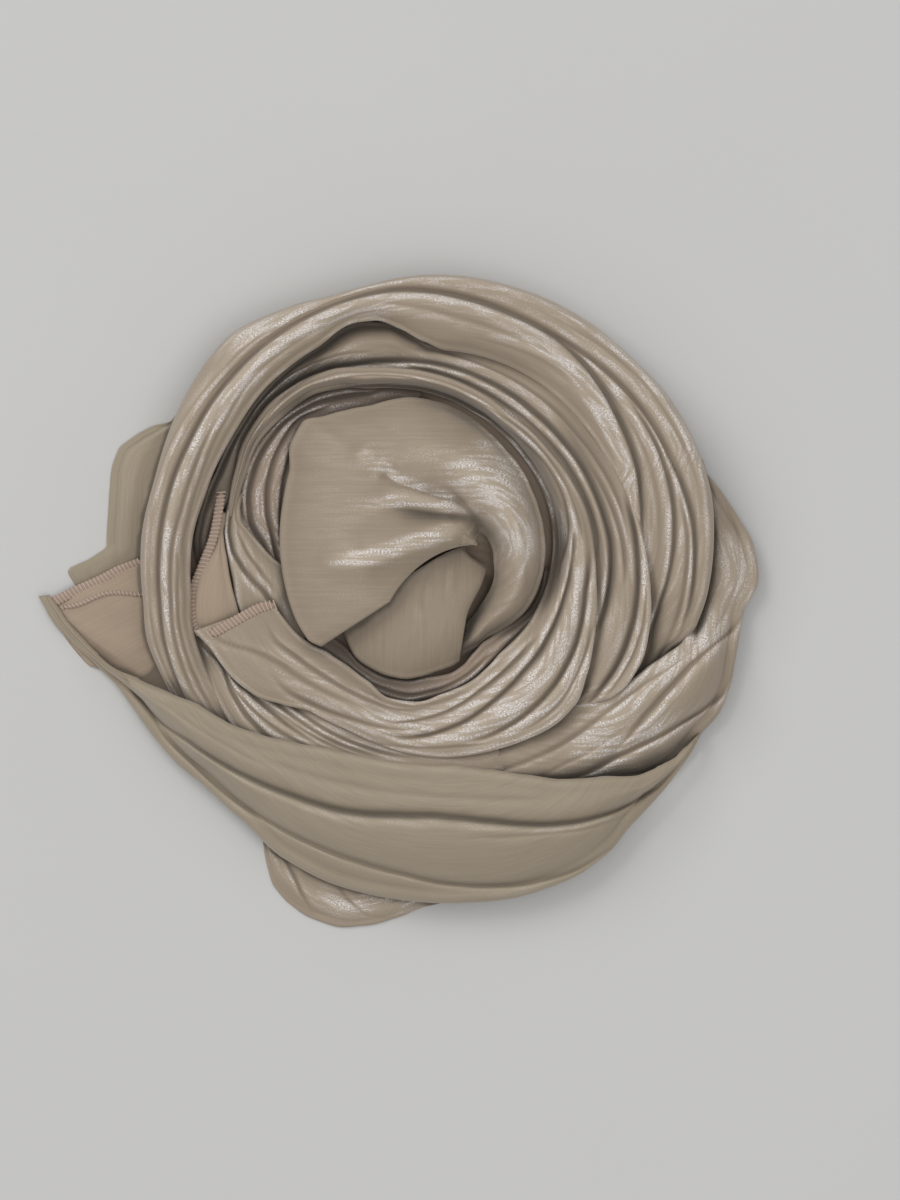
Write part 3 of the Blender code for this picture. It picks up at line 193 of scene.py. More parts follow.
LOWER_LEFT_FOLDS = rows(
    "angle out inner",
    (202, 96.1, 92.7), (206, 97.2, 89.7), (210, 97.8, 88.5), (215, 99.2, 87.4), (220, 100.7, 85.1),
    (225, 101.8, 81.3), (230, 99.9, 77.5), (235, 95.8, 74.9), (242, 91.7, 74.1), (252, 89.0, 74.6),
    (262, 87.7, 76.6), (272, 87.7, 77.7), (282.6, 91.8, 78.6),
)
LOWER_LEFT_FOLDS_Z = rows(
    "angle z_out z_top z_in rim drop",
    (202, 15.0, 16.0, 15.5, 13.0, 1.5), (215, 17.0, 18.2, 16.6, 14.5, 1.5),
    (225, 18.0, 19.8, 17.6, 15.0, 1.5), (240, 20.5, 22.0, 19.5, 16.5, 1.5),
    (265, 21.5, 23.0, 21.0, 17.5, 1.5), (282.6, 21.0, 22.6, 21.0, 17.5, 1.5),
)
LEFT_FOLDS = rows(
    "angle out inner",
    (168.4, 77.9, 74.7), (172, 78.1, 73.5), (176, 77.9, 69.2), (180, 77.1, 65.0), (185, 76.2, 60.4),
    (190, 75.6, 55.9), (196, 76.2, 55.9), (203, 75.6, 56.0), (213, 73.7, 56.6),
)
LEFT_FOLDS_Z = rows(
    "angle z_out z_top z_in rim drop",
    (168.4, 15.6, 16.2, 15.2, 14.0, 1.4), (180, 16.6, 17.2, 16.0, 14.6, 1.5),
    (190, 17.0, 17.8, 16.0, 15.0, 1.5), (200, 17.0, 17.6, 15.6, 15.0, 1.2),
    (213, 16.2, 16.8, 15.2, 14.4, 1.2),
)
HEM_CORNER = rows(
    "angle out inner",
    (171, 81.1, 78.7), (176, 81.9, 78.8), (180, 82.5, 78.1), (184, 85.3, 77.3), (188, 88.9, 77.0),
    (192, 91.4, 76.9), (196, 93.1, 76.8), (200, 94.6, 77.0), (203, 92.7, 77.0),
)
HEM_CORNER_Z = rows(
    "angle z_out z_top z_in rim drop",
    (171, 15.6, 16.0, 15.6, 14.6, 0.8), (180, 17.2, 17.8, 17.2, 16.0, 1.0),
    (192, 18.8, 19.2, 18.2, 17.6, 1.0), (203, 17.8, 18.2, 17.6, 16.6, 0.8),
)
NEST_LAYER = rows(
    "angle out inner",
    (97, 60.4, 54.7), (105, 63.5, 55.0), (113, 66.3, 56.0), (120, 70.7, 58.1), (128, 73.7, 60.9),
    (136, 75.4, 66.1), (143, 76.5, 63.2), (150, 77.5, 58.9), (160, 77.9, 56.2), (170, 74.9, 54.7),
    (178, 67.2, 54.4), (186, 61.3, 54.1), (195, 60.0, 54.1), (205, 60.0, 54.5), (215, 59.7, 54.4),
    (222, 59.0, 52.1), (230, 58.1, 51.1), (240, 57.8, 53.2), (250, 60.8, 54.0), (260, 62.7, 53.2),
    (270, 60.4, 50.9), (278, 58.4, 50.3), (285, 56.6, 48.3), (292, 54.5, 45.0), (300, 52.1, 42.9),
    (310, 50.5, 42.9), (320, 50.2, 44.5), (330, 49.4, 46.4), (338, 49.1, 46.2), (346, 48.3, 45.6),
)
NEST_LAYER_Z = rows(
    "angle z_out z_top z_in rim drop",
    (97, 12.0, 13.4, 12.8, 10.5, 1.2), (120, 12.4, 15.2, 14.4, 10.8, 1.5),
    (145, 12.6, 15.8, 15.0, 10.8, 1.5), (165, 12.6, 15.8, 15.0, 10.8, 1.5),
    (180, 12.6, 14.0, 13.8, 10.8, 1.5), (188, 12.4, 13.4, 13.2, 10.8, 1.2),
    (205, 12.2, 13.2, 13.0, 10.6, 1.2), (225, 12.0, 13.4, 13.0, 10.4, 1.2),
    (250, 12.4, 14.2, 13.6, 10.8, 1.2), (270, 14.0, 15.5, 14.5, 12.5, 1.5),
    (285, 16.2, 17.4, 16.2, 14.8, 2.5), (300, 16.8, 17.6, 15.8, 15.4, 3.0),
    (320, 15.8, 16.6, 14.8, 14.4, 2.5), (335, 13.0, 13.6, 12.6, 11.8, 1.5),
    (346, 11.0, 11.4, 11.0, 9.8, 0.8),
)
BACK_LEFT_FLAP = rows(
    "angle out inner",
    (151, 109.4, 105.8), (154, 110.2, 105.4), (157, 116.7, 105.2), (160, 121.6, 105.2), (163, 125.4, 105.3),
    (166, 125.9, 105.4), (170, 125.0, 105.6), (175, 124.3, 105.8), (180, 124.3, 106.0), (182, 130.0, 106.1),
    (184, 139.5, 106.2), (186, 137.6, 106.4), (188, 135.3, 106.6),
)
BACK_LEFT_FLAP_Z = rows(
    "angle z_out z_top z_in rim drop",
    (151, 1.4, 2.4, 2.4, 0.3, 1.0), (170, 1.6, 4.4, 4.8, 0.3, 1.0), (180, 1.4, 3.0, 3.4, 0.2, 1.0),
    (184, 1.2, 1.5, 1.8, 0.2, 1.0), (188, 1.1, 1.2, 1.3, 0.1, 1.0),
)
BOTTOM_CORNER = rows(
    "angle out inner",
    (240.5, 130.3, 126.9), (243, 137.9, 127.3), (245.5, 144.2, 127.5), (248.5, 147.8, 127.8),
    (252, 150.1, 128.5), (256, 150.7, 129.3), (260, 148.2, 129.6), (265, 143.3, 130.0), (270, 138.3, 130.7),
    (272, 137.2, 131.5),
)
BOTTOM_CORNER_Z = rows(
    "angle z_out z_top z_in rim drop",
    (240.5, 1.4, 3.0, 3.4, 0.3, 1.0), (248.5, 1.6, 5.4, 5.4, 0.3, 1.0), (260, 1.6, 4.8, 5.2, 0.3, 1.0),
    (272, 1.4, 2.6, 3.0, 0.3, 1.0),
)
# The fans, each in one table.  They open from the neck or from the tip, and start is the
# direction in which a section leaves it.
PETAL = rows(
    "angle start out inner z_out z_top z_in rim drop",
    (-99, -99, 43.0, 30.5, 11.0, 13.5, 12.0, 9.0, 1.5), (-92, -92, 40.0, 25.5, 12.0, 17.0, 14.0, 9.5, 2.5),
    (-83, -83, 35.5, 20.6, 14.0, 20.5, 16.5, 9.5, 3.5), (-72, -72, 33.2, 16.4, 17.0, 24.0, 18.5, 9.5, 4.5),
    (-60, -60, 31.8, 12.3, 19.0, 27.0, 20.0, 9.5, 5.0), (-45, -45, 29.6, 8.2, 20.5, 29.5, 21.5, 9.5, 5.0),
    (-28, -28, 27.4, 6.4, 21.5, 31.5, 22.5, 9.5, 4.0), (-10, -10, 26.0, 5.2, 22.0, 32.8, 23.0, 9.5, 3.0),
    (8, 8, 25.6, 4.6, 22.5, 33.6, 23.5, 9.5, 3.0), (25, 25, 26.5, 4.4, 22.5, 34.0, 24.0, 10.0, 3.0),
    (42, 42, 28.8, 4.4, 22.5, 34.4, 24.0, 10.5, 3.0), (58, 58, 32.8, 4.4, 22.5, 34.8, 24.5, 11.5, 3.0),
    (72, 72, 37.2, 4.4, 22.5, 35.0, 24.5, 12.5, 3.0), (84, 84, 43.0, 4.2, 22.0, 35.0, 25.0, 14.0, 3.0),
    (95, 95, 49.8, 3.4, 20.0, 35.0, 26.0, 16.0, 3.0), (106, 106, 56.8, 2.6, 20.8, 35.0, 27.0, 17.0, 3.0),
    (117, 117, 63.0, 1.8, 21.4, 35.2, 28.0, 17.6, 3.0), (127, 127, 66.8, 1.0, 21.8, 35.4, 29.0, 18.0, 3.0),
    (134, 134, 71.6, 0.7, 22.0, 35.6, 29.5, 18.0, 3.0), (140, 140, 76.4, 0.6, 22.0, 35.8, 30.0, 18.0, 3.0),
    (145, 145, 81.6, 0.6, 22.0, 36.0, 30.0, 18.0, 3.0), (151, 151, 81.2, 0.6, 22.2, 36.0, 30.0, 18.2, 3.0),
    (159, 158, 77.0, 0.6, 22.4, 36.0, 30.0, 18.4, 3.0), (169, 166, 75.9, 0.6, 22.6, 36.0, 30.0, 18.6, 3.0),
    (180, 173, 75.4, 0.6, 22.8, 35.6, 30.0, 19.0, 3.0), (191, 178, 75.0, 0.6, 23.0, 35.0, 29.5, 19.4, 3.0),
    (201, 180, 74.9, 0.6, 23.2, 34.0, 29.0, 19.6, 3.0), (209, 181, 74.0, 0.8, 23.4, 32.8, 28.0, 20.0, 3.0),
    (213, 182, 71.0, 1.2, 23.4, 31.6, 27.0, 20.4, 3.0),
)
TONGUE = rows(
    "angle start out inner z_out z_top z_in rim drop",
    (204, 186, 58.0, 5.0, 18.0, 25.0, 21.4, 14.5, 2.0), (214, 199, 61.2, 5.0, 18.0, 25.4, 21.4, 14.5, 2.0),
    (223, 215, 63.2, 5.0, 18.0, 25.6, 21.4, 14.5, 2.0), (232, 232, 61.5, 5.0, 17.8, 25.4, 21.2, 14.2, 2.0),
    (240, 248, 58.8, 5.2, 17.4, 24.6, 20.6, 13.8, 2.0), (247, 262, 54.4, 5.6, 17.0, 23.8, 20.0, 13.4, 2.0),
    (253, 274, 50.0, 6.4, 16.4, 22.8, 19.4, 12.8, 2.0), (258, 285, 47.2, 7.6, 15.6, 21.4, 18.8, 12.0, 2.0),
    (261, 292, 44.8, 8.7, 14.8, 20.0, 18.2, 11.2, 2.0),
)
LEFT_CORNER = rows(
    "angle out inner z_out z_top z_in rim drop",
    (-57, 16.0, 2.6, 1.1, 1.4, 1.4, 0.1, 0.9), (-53, 32.0, 1.8, 1.5, 1.6, 1.4, 0.5, 0.9),
    (-47, 37.0, 1.4, 1.9, 1.8, 1.4, 0.9, 0.9), (-42, 52.0, 1.2, 3.0, 2.4, 1.4, 2.0, 0.9),
    (-36, 71.0, 1.2, 6.2, 3.8, 1.4, 5.2, 0.9), (-29, 71.0, 1.2, 6.6, 4.2, 1.5, 5.6, 0.9),
    (-20, 57.0, 1.2, 6.2, 4.0, 1.5, 5.2, 0.9), (-4, 45.5, 1.2, 6.4, 4.4, 1.6, 5.4, 0.9),
    (8, 44.5, 1.8, 6.2, 4.6, 1.9, 5.2, 0.9), (15, 44.0, 10.0, 6.0, 4.6, 3.0, 5.0, 0.9),
    (19.5, 44.0, 24.0, 5.8, 4.8, 3.8, 4.8, 0.9),
)
# The valleys that run along the stretches.
OUTER_FOLDS = (
    fold(3.2, 6.5, 1.5, (4, 80.6), (12, 81.7), (20, 83.6), (30, 85.1), (40, 87.4), (50, 89.7), (60, 91.6),
        (70, 92.3), (80, 93.9), (90, 95.8), (100, 97.3), (115, 97.7), (140, 98.2), (155, 98.8),
        (170, 100.7), (180, 102.2), (190, 104.1), (200, 107.2), (212, 110.2)),
    fold(2.8, 5.0, 1.3, (-14, 101.1), (0, 100.3), (5, 99.9), (10, 98.8), (15, 97.7), (20, 96.5),
        (30, 95.4), (40, 93.9), (50, 92.7), (60, 91.6)),
    fold(1.6, 2.0, 4.0, (-22, 97.7), (-12, 98.0), (0, 98.0), (10, 96.5)),
    fold(2.4, 4.0, 1.3, (-24, 89.7), (-15, 90.1), (-8, 91.2), (0, 92.3), (10, 93.3), (20, 93.7),
        (34, 93.1)),
    fold(1.0, 3.0, 3.0, (0, 86.6), (12, 87.8), (25, 88.5), (38, 88.9), (48, 90.1)),
    fold(1.0, 2.5, 1.2, (106, 101.5), (115, 101.8), (130, 102.0), (140, 102.6), (150, 104.1),
        (160, 105.6), (172, 106.8)),
    fold(1.2, 2.5, 1.2, (150, 93.5), (160, 93.5), (170, 94.6), (180, 97.3), (190, 99.6), (200, 103.0),
        (212, 106.0)),
    fold(0.9, 1.6, 1.0, (186, 95.8), (193, 98.0), (200, 100.3), (207, 101.8), (218, 104.1)),
    fold(0.8, 1.8, 1.6, (120, 91.6), (135, 92.0), (150, 90.4), (162, 90.4), (172, 91.6), (180, 93.5)),
    fold(0.9, 2.6, 1.4, (164, 104.9), (174, 106.0), (184, 107.5), (194, 109.4), (206, 111.7)),
    fold(0.8, 3.5, 2.0, (62, 84.4), (72, 85.1), (82, 86.6), (92, 89.7), (102, 93.5)),
    fold(0.6, 2.5, 2.5, (26, 80.6), (36, 81.3), (48, 82.5), (60, 81.3), (72, 80.2)),
    fold(0.9, 3.0, 2.0, (14, 104.1), (24, 103.0), (36, 101.8), (48, 99.6), (58, 97.7)),
)
MIDDLE_FOLDS = (
    fold(3.2, 1.3, 4.5, (-42, 85.1), (-35, 84.9), (-30, 84.4), (-25, 83.6), (-20, 82.8), (-15, 81.7),
        (-10, 80.6), (-5, 79.6), (0, 78.7), (10, 77.1)),
    fold(3.4, 4.5, 1.5, (-22, 70.7), (-15, 69.9), (-8, 69.2), (0, 68.4), (10, 66.7), (20, 65.4),
        (30, 64.6), (40, 63.8), (50, 63.8), (60, 64.6), (70, 65.7), (80, 67.3), (90, 69.2), (100, 71.1),
        (110, 73.7), (120, 77.1), (130, 80.2), (145, 80.9)),
    fold(1.6, 2.5, 2.0, (-8, 74.9), (0, 73.3), (8, 71.4), (16, 69.5), (26, 67.3)),
    fold(1.2, 3.0, 1.4, (6, 74.9), (16, 73.0), (28, 71.1), (40, 69.9), (54, 69.9), (68, 70.7), (80, 72.2),
        (92, 74.5)),
    fold(1.4, 1.6, 2.6, (2, 63.8), (15, 61.9), (30, 60.4), (45, 59.7), (60, 60.4), (72, 61.9), (84, 64.6),
        (96, 67.6)),
    fold(1.0, 2.0, 1.2, (108, 77.1), (116, 80.2), (124, 82.8), (132, 84.4), (142, 84.7)),
    fold(1.2, 2.0, 1.2, (140, 83.6), (150, 84.4), (158, 85.1), (166, 85.9)),
    fold(1.0, 1.6, 1.0, (-38, 88.2), (-30, 87.8), (-22, 86.6), (-14, 84.4), (-6, 82.5)),
)
INNER_FOLDS = (
    fold(3.0, 1.6, 3.6, (286, 76.0), (296, 74.5), (305, 72.8), (312, 71.1), (318, 69.3), (325, 67.3),
        (332, 65.0), (338, 63.1), (345, 61.4), (352, 60.8)),
    fold(3.0, 3.6, 1.6, (262, 73.7), (268, 72.2), (274, 70.3), (280, 68.4), (286, 66.1), (292, 63.8),
        (300, 61.4), (308, 59.3), (316, 58.0), (325, 56.4), (333, 55.3), (342, 54.5), (352, 54.3),
        (362, 54.5)),
    fold(2.0, 2.4, 1.4, (258, 68.8), (266, 66.7), (274, 64.2), (282, 61.2), (290, 58.3), (298, 56.2),
        (306, 54.7), (314, 53.6)),
    fold(3.0, 1.0, 7.0, (352, 50.3), (360, 51.9), (370, 53.4), (380, 53.8), (395, 53.4), (410, 53.0),
        (420, 53.2), (430, 54.5), (440, 56.8), (450, 59.3), (460, 61.6), (470, 65.0), (480, 68.4),
        (490, 71.4), (500, 73.2)),
    fold(1.6, 1.5, 2.5, (226, 77.5), (236, 74.5), (248, 72.2), (260, 71.1), (270, 68.4)),
    fold(1.3, 3.0, 3.0, (204, 88.2), (207, 84.0), (210, 79.4), (214, 75.2), (220, 71.8), (230, 69.2),
        (242, 66.9)),
    fold(1.3, 2.0, 1.2, (212, 68.8), (222, 65.4), (234, 63.5), (246, 63.1), (258, 63.5), (268, 61.9)),
    fold(1.2, 1.4, 1.6, (300, 78.7), (308, 77.9), (316, 75.2), (324, 72.2), (332, 69.5)),
    fold(1.0, 1.5, 1.5, (366, 57.8), (380, 56.6), (400, 55.7), (420, 55.9), (434, 57.4), (448, 60.8),
        (462, 65.4), (476, 70.7)),
    fold(0.9, 1.4, 1.4, (246, 78.7), (256, 77.9), (266, 77.1), (276, 77.1), (286, 78.3)),
    fold(1.2, 1.6, 2.2, (250, 60.8), (262, 61.9), (272, 60.0), (282, 57.4)),
    fold(1.3, 1.3, 1.8, (352, 47.9), (366, 48.6), (382, 49.8), (398, 50.2), (414, 50.5), (428, 52.1)),
    fold(1.0, 1.2, 1.5, (486, 78.7), (496, 79.0), (506, 78.3), (516, 77.1)),
)
SWEEP_FOLDS = (
    fold(3.8, 1.8, 8.5, (206, 126.5), (213, 123.1), (220, 117.8), (227, 114.4), (235, 111.0),
        (243, 108.3), (250, 106.8), (257, 105.1), (264, 103.4), (270, 103.0), (276, 104.5), (282, 107.5),
        (288, 111.7), (294, 116.3), (300, 120.5), (306, 123.9), (313, 126.5)),
    fold(2.2, 1.1, 6.5, (216, 124.6), (224, 122.7), (232, 122.5), (240, 122.0), (248, 122.4),
        (256, 123.5), (264, 125.4), (272, 128.8), (280, 131.9), (287, 134.5), (294, 135.8), (302, 134.5)),
    fold(1.2, 1.6, 5.0, (210, 118.6), (217, 112.9), (225, 107.9), (233, 104.5)),
    fold(1.2, 6.0, 6.0, (232, 101.8), (242, 98.0), (254, 95.0), (266, 94.2), (276, 95.8), (286, 99.9),
        (294, 104.9)),
    fold(0.9, 1.4, 4.5, (280, 112.5), (287, 115.5), (294, 119.7), (300, 123.9), (306, 126.9)),
    fold(0.7, 1.2, 2.5, (192, 144.0), (198, 137.9), (204, 130.3), (210, 122.4)),
)
TURN_FOLDS = (
    fold(3.0, 1.8, 5.5, (-62, 101.1), (-59, 103.7), (-56, 107.5), (-53, 111.3), (-50, 114.8),
        (-47, 119.3), (-43, 123.3), (-39, 126.0), (-35, 127.3)),
    fold(2.9, 1.8, 6.5, (-64, 98.0), (-60, 103.4), (-55, 105.8), (-50, 107.0), (-45, 109.8), (-40, 113.6),
        (-35, 117.6), (-31, 121.6), (-27, 125.4)),
    fold(2.6, 2.2, 6.5, (-47, 105.3), (-39, 104.5), (-34, 105.3), (-29, 107.0), (-25, 109.1),
        (-22, 111.7), (-19, 115.1), (-16, 119.3), (-13, 122.4)),
    fold(1.4, 1.2, 3.5, (-72, 89.9), (-64, 90.2), (-56, 90.8), (-48, 91.6), (-40, 93.5), (-33, 97.3),
        (-27, 102.6), (-22, 107.5)),
    fold(1.0, 1.2, 3.0, (-68, 97.7), (-60, 97.8), (-52, 99.6), (-44, 101.5), (-36, 102.2)),
    fold(1.0, 3.5, 3.5, (-21, 111.0), (-15, 114.0), (-10, 117.0), (-5, 118.6), (1, 117.8), (7, 114.4)),
)
LOWER_LEFT_FOLD_LINES = (
    fold(1.8, 1.2, 1.8, (204, 94.6), (210, 91.4), (217, 93.9), (224, 95.4), (232, 95.8)),
    fold(1.8, 1.2, 1.6, (208, 90.8), (214, 90.4), (220, 88.5), (227, 87.4), (236, 87.0)),
    fold(1.2, 1.0, 1.2, (216, 92.7), (223, 92.0), (230, 91.2), (238, 89.7)),
    fold(1.4, 1.0, 1.4, (222, 84.4), (228, 83.6), (235, 83.2), (243, 83.2), (252, 82.8)),
    fold(1.3, 0.9, 1.2, (228, 80.6), (235, 80.4), (242, 80.6), (250, 80.6), (260, 80.9)),
    fold(1.2, 0.9, 1.2, (226, 86.3), (232, 85.5), (238, 85.1), (246, 84.7)),
)
LEFT_FOLD_LINES = (
    fold(2.2, 1.2, 2.4, (169, 76.8), (175, 76.8), (181, 75.4), (186, 72.6), (191, 69.2), (196, 65.7),
        (203, 63.1)),
    fold(1.0, 1.2, 1.2, (176, 73.3), (182, 69.9), (188, 65.7), (194, 62.3)),
)
FLAP_FOLDS = (
    fold(0.7, 0.8, 1.2, (153, 107.6), (157, 113.3), (160, 118.2), (163, 122.0), (166, 122.6),
        (170, 121.6), (175, 120.9), (180, 120.9)),
)
BOTTOM_FOLDS = (
    fold(1.5, 1.2, 3.0, (245.1, 131.9), (247.5, 136.6), (249.9, 142.5), (252.3, 147.6)),
    fold(0.9, 2.5, 1.2, (254.0, 133.0), (257.0, 139.0), (260.5, 144.0)),
)
NEST_FOLDS = (
    fold(2.2, 1.2, 3.5, (112, 62.5), (122, 66.5), (132, 70.5), (142, 73.0), (152, 73.5), (162, 72.5),
        (172, 69.5), (180, 63.5)),
    fold(1.8, 1.0, 3.0, (128, 66.0), (138, 69.5), (148, 68.5), (158, 66.5), (168, 63.5), (178, 60.0),
        (190, 57.5)),
    fold(1.5, 1.0, 2.5, (144, 64.5), (154, 61.5), (164, 59.0), (176, 57.0), (190, 55.8)),
    fold(1.2, 1.0, 2.0, (236, 55.5), (248, 57.5), (260, 58.0), (272, 55.5), (284, 52.0), (296, 48.0)),
    fold(1.0, 0.8, 1.6, (262, 60.5), (274, 58.0), (286, 54.5), (298, 50.5), (310, 48.0), (322, 47.5)),
)
# Creases of the petal, drawn in plan.
PETAL_CREASES = (
    crease(3.2, 9.0, 2.6, 0.6, 0.3, (-9.3, 55.9), (-5.5, 50.2), (-2.1, 46.4), (0.6, 44.9), (4.4, 43.4),
        (8.2, 42.2), (15.8, 39.9), (19.6, 38.8), (24.2, 37.3), (28.0, 34.5)),
    crease(4.6, 3.0, 12.0, 0.7, 0.3, (-17.6, 33.5), (-10.8, 33.9), (0.6, 34.6), (12.0, 33.1),
        (21.5, 32.0), (29.1, 30.8), (31.8, 27.4)),
    crease(-4.6, 7.5, 6.0, 0.4, 0.2, (-31.3, 16.0), (-26.0, 15.2), (-13.5, 15.2), (-7.0, 17.1),
        (0.6, 19.4), (8.2, 22.1), (15.8, 25.1), (23.4, 27.0), (31.0, 25.9)),
    crease(-1.8, 4.5, 4.0, 0.3, 0.3, (-16.5, 58.6), (-12.3, 54.8), (-7.0, 50.2), (-3.2, 47.2)),
    crease(-1.6, 4.0, 3.5, 0.3, 0.2, (-7.0, 40.2), (8.2, 37.5), (23.4, 34.2)),
    crease(2.0, 2.4, 6.0, 0.5, 0.35, (15.8, 46.4), (21.5, 41.1), (25.7, 35.8), (30.2, 30.1), (33.3, 23.2)),
    crease(0.9, 5.0, 2.0, 0.3, 0.3, (43.2, 43.4), (45.4, 35.0), (47.3, 25.5), (48.5, 16.0), (48.5, 4.6),
        (46.2, -6.0)),
    crease(-3.4, 8.0, 8.0, 0.3, 0.3, (0.6, 60.8), (12.0, 56.5), (22.5, 51.0), (33.0, 41.5), (41.0, 30.0),
        (46.0, 17.9), (47.5, 4.6)),
)
# Painted highlights where the foil threads catch the light, drawn as ridges that are 1 deep at the brightest.
# A positive one is painted shade over a stretch in shade.
PETAL_GLINTS = (
    crease(-0.9, 8.5, 7.0, 0.25, 0.3, (15.0, 52.0), (24.0, 48.5), (33.0, 43.0), (40.5, 36.0),
        (44.5, 28.5), (46.0, 21.0), (46.8, 13.0), (46.6, 6.0)),
    crease(-0.5, 4.5, 4.5, 0.3, 0.3, (25.0, 62.5), (33.0, 59.0), (41.0, 53.0), (48.0, 44.5), (52.0, 34.0)),
    crease(-1.0, 1.8, 1.2, 0.2, 0.2, (-8.5, 54.8), (-4.6, 50.3), (-1.2, 46.9), (4.8, 44.3), (12.4, 41.8),
        (24.2, 37.9)),
    crease(-0.9, 3.0, 2.6, 0.3, 0.2, (-31.0, 14.8), (-20.0, 15.6), (-8.5, 17.6), (5.2, 22.2), (21.5, 26.4)),
    crease(-0.5, 4.5, 3.0, 0.4, 0.3, (-17.6, 31.6), (-8.0, 36.0), (2.0, 38.0), (15.8, 36.2), (24.0, 33.8)),
)
INNER_GLINTS = (
    crease(-0.9, 1.4, 1.4, 0.2, 0.3, (18.1, 76.8), (37.1, 65.8), (53.0, 48.3), (62.5, 29.3), (67.5, 7.3),
        (65.6, -14.8)),
    crease(-0.7, 8.0, 8.0, 0.3, 0.6, (-26.0, -41.0), (-12.0, -45.6), (0.6, -47.8), (15.0, -46.6),
        (27.2, -41.8), (40.0, -34.6), (50.0, -25.8), (58.0, -15.4), (63.3, -4.9)),
    crease(-0.6, 5.0, 5.0, 0.3, 0.3, (15.8, -54.3), (32.0, -51.0), (46.2, -45.6), (58.0, -37.0),
        (67.1, -27.7), (73.0, -17.6), (76.6, -6.8)),
)
OUTER_GLINTS = (
    crease(-0.8, 1.8, 1.8, 0.2, 0.3, (31.0, 106.8), (62.5, 89.3), (81.5, 60.8), (94.1, 22.8), (95.6, -5.7)),
    crease(-0.6, 5.0, 5.0, 0.3, 0.3, (-72.0, 90.0), (-60.2, 102.3), (-37.4, 114.0), (-16.5, 118.6)),
    crease(-0.6, 4.0, 4.0, 0.2, 0.3, (-80.0, 51.3), (-73.0, 64.0), (-64.0, 76.8), (-45.0, 97.7),
        (-22.2, 108.0), (-0.5, 111.0), (19.6, 110.2)),
    crease(-0.9, 4.5, 4.5, 0.25, 0.25, (55.0, 118.0), (75.0, 108.0), (94.5, 89.3), (110.8, 65.4),
        (116.5, 51.3), (119.0, 36.0)),
)
PAINTED_SHADE_BANDS = (
    crease(1.1, 8.0, 8.0, 0.3, 0.3, (51.0, 79.0), (58.0, 74.0), (69.0, 57.0), (76.0, 39.5), (80.0, 21.7),
        (82.0, 4.6), (80.5, -8.0)),
    crease(0.7, 4.0, 4.0, 0.3, 0.3, (-22.0, 94.0), (-10.8, 97.7), (8.2, 95.8), (27.2, 95.0), (46.2, 89.0),
        (61.4, 78.7)),
)
BOTTOM_GLINTS = (
    crease(-0.4, 6.0, 6.0, 0.3, 0.3, (-37.4, -105.6), (-22.2, -115.1), (0.6, -115.1), (15.8, -110.5)),
)
TURN_GLINTS = (
    crease(-0.6, 8.0, 8.0, 0.3, 0.3, (61.4, -54.3), (84.2, -39.1), (98.0, -29.0), (110.8, -18.2),
        (121.0, -8.6), (127.9, 0.8), (130.0, 14.0)),
    crease(-0.6, 5.0, 4.0, 0.3, 0.3, (58.0, -56.0), (76.0, -55.5), (92.0, -52.0), (104.0, -46.0),
        (112.0, -40.0)),
    crease(-0.5, 7.0, 7.0, 0.3, 0.3, (128.0, -4.0), (130.0, 6.0), (128.5, 18.0), (124.0, 30.0)),
)
TONGUE_CREASES = (
    crease(-0.5, 2.0, 1.2, 0.4, 0.5, (20.7, 19.8), (19.6, 12.2), (19.2, 4.6), (19.4, -4.0)),
    crease(0.6, 4.0, 4.0, 0.3, 0.3, (12.0, 14.0), (9.0, 3.0), (9.5, -6.0)),
)
# Lines that the hems follow, from end to end.
CORNER_HEM = ((-135.4, -0.6), (-132.0, 0.2), (-123.6, 4.3), (-113.8, 8.6), (-107.3, 12.0), (-97.8, 15.6))
CORNER_SEAM = ((-129.0, -2.2), (-121.8, -0.7), (-111.1, 3.4), (-97.8, 2.7))
FOLD_HEM = (
    (-67.4, 41.8), (-70.1, 25.9), (-74.6, 13.7), (-78.1, 4.2), (-78.1, -6.8), (-76.2, -11.0), (-71.6, -12.5),
)
END_HEM = ((-71.6, -12.5), (-61.3, -6.8), (-52.6, -2.2), (-46.9, -1.1))


def smooth(xs, ys, x):
    """Values at x of a curve through the points that never overshoots them."""
    xs, ys = np.asarray(xs, float), np.asarray(ys, float)
    k = np.clip(np.searchsorted(xs, x, side="right") - 1, 0, len(xs) - 2)
    step = np.diff(ys)
    left = np.concatenate((step[:1], step[:-1]))
    right = np.concatenate((step[1:], step[-1:]))
    m0 = np.where(left * step <= 0, 0.0, np.sign(step) * np.minimum(abs(left), abs(step)))[k]
    m1 = np.where(right * step <= 0, 0.0, np.sign(step) * np.minimum(abs(right), abs(step)))[k]
    t = np.clip((x - xs[k]) / (xs[k + 1] - xs[k]), 0, 1)
    rise = step[k]
    return ys[k] + m0 * t + (3 * rise - 2 * m0 - m1) * t**2 + (m0 + m1 - 2 * rise) * t**3


def rounded_edge(r, z, low, way, tuck):
    """An edge that turns over and down to its rim; way is +1 outwards, -1 inwards."""
    tall = max(z - low, 0.3)
    wide = min(way[1], tall)
    turn = np.radians(EDGE_TURN - EDGE_TURN * np.linspace(0, 1, 12))
    s = np.linspace(0.1, 1, 8)
    radii = np.concatenate((r - way[0] * wide * (1 - np.cos(turn)), r - way[0] * tuck * s * s))
    heights = np.concatenate((z - wide * (1 - np.sin(turn)), z - wide - (tall - wide) * s))
    return radii, heights


def tall_edge(out, top, rim, shoulder):
    """The outer side of a heaped bundle, from its shoulder down to its foot."""
    z = np.linspace(top, rim, 60)
    wide = out - shoulder
    middle = rim + FULLEST * (top - rim)
    s = np.where(z > middle, (z - middle) / (top - middle), (middle - z) / (middle - rim))
    bulge = wide * (1 - np.sqrt(np.maximum(1 - s * s, 0.0)))
    return out - np.where(z > middle, bulge, FOOT_TUCK * s * s), z


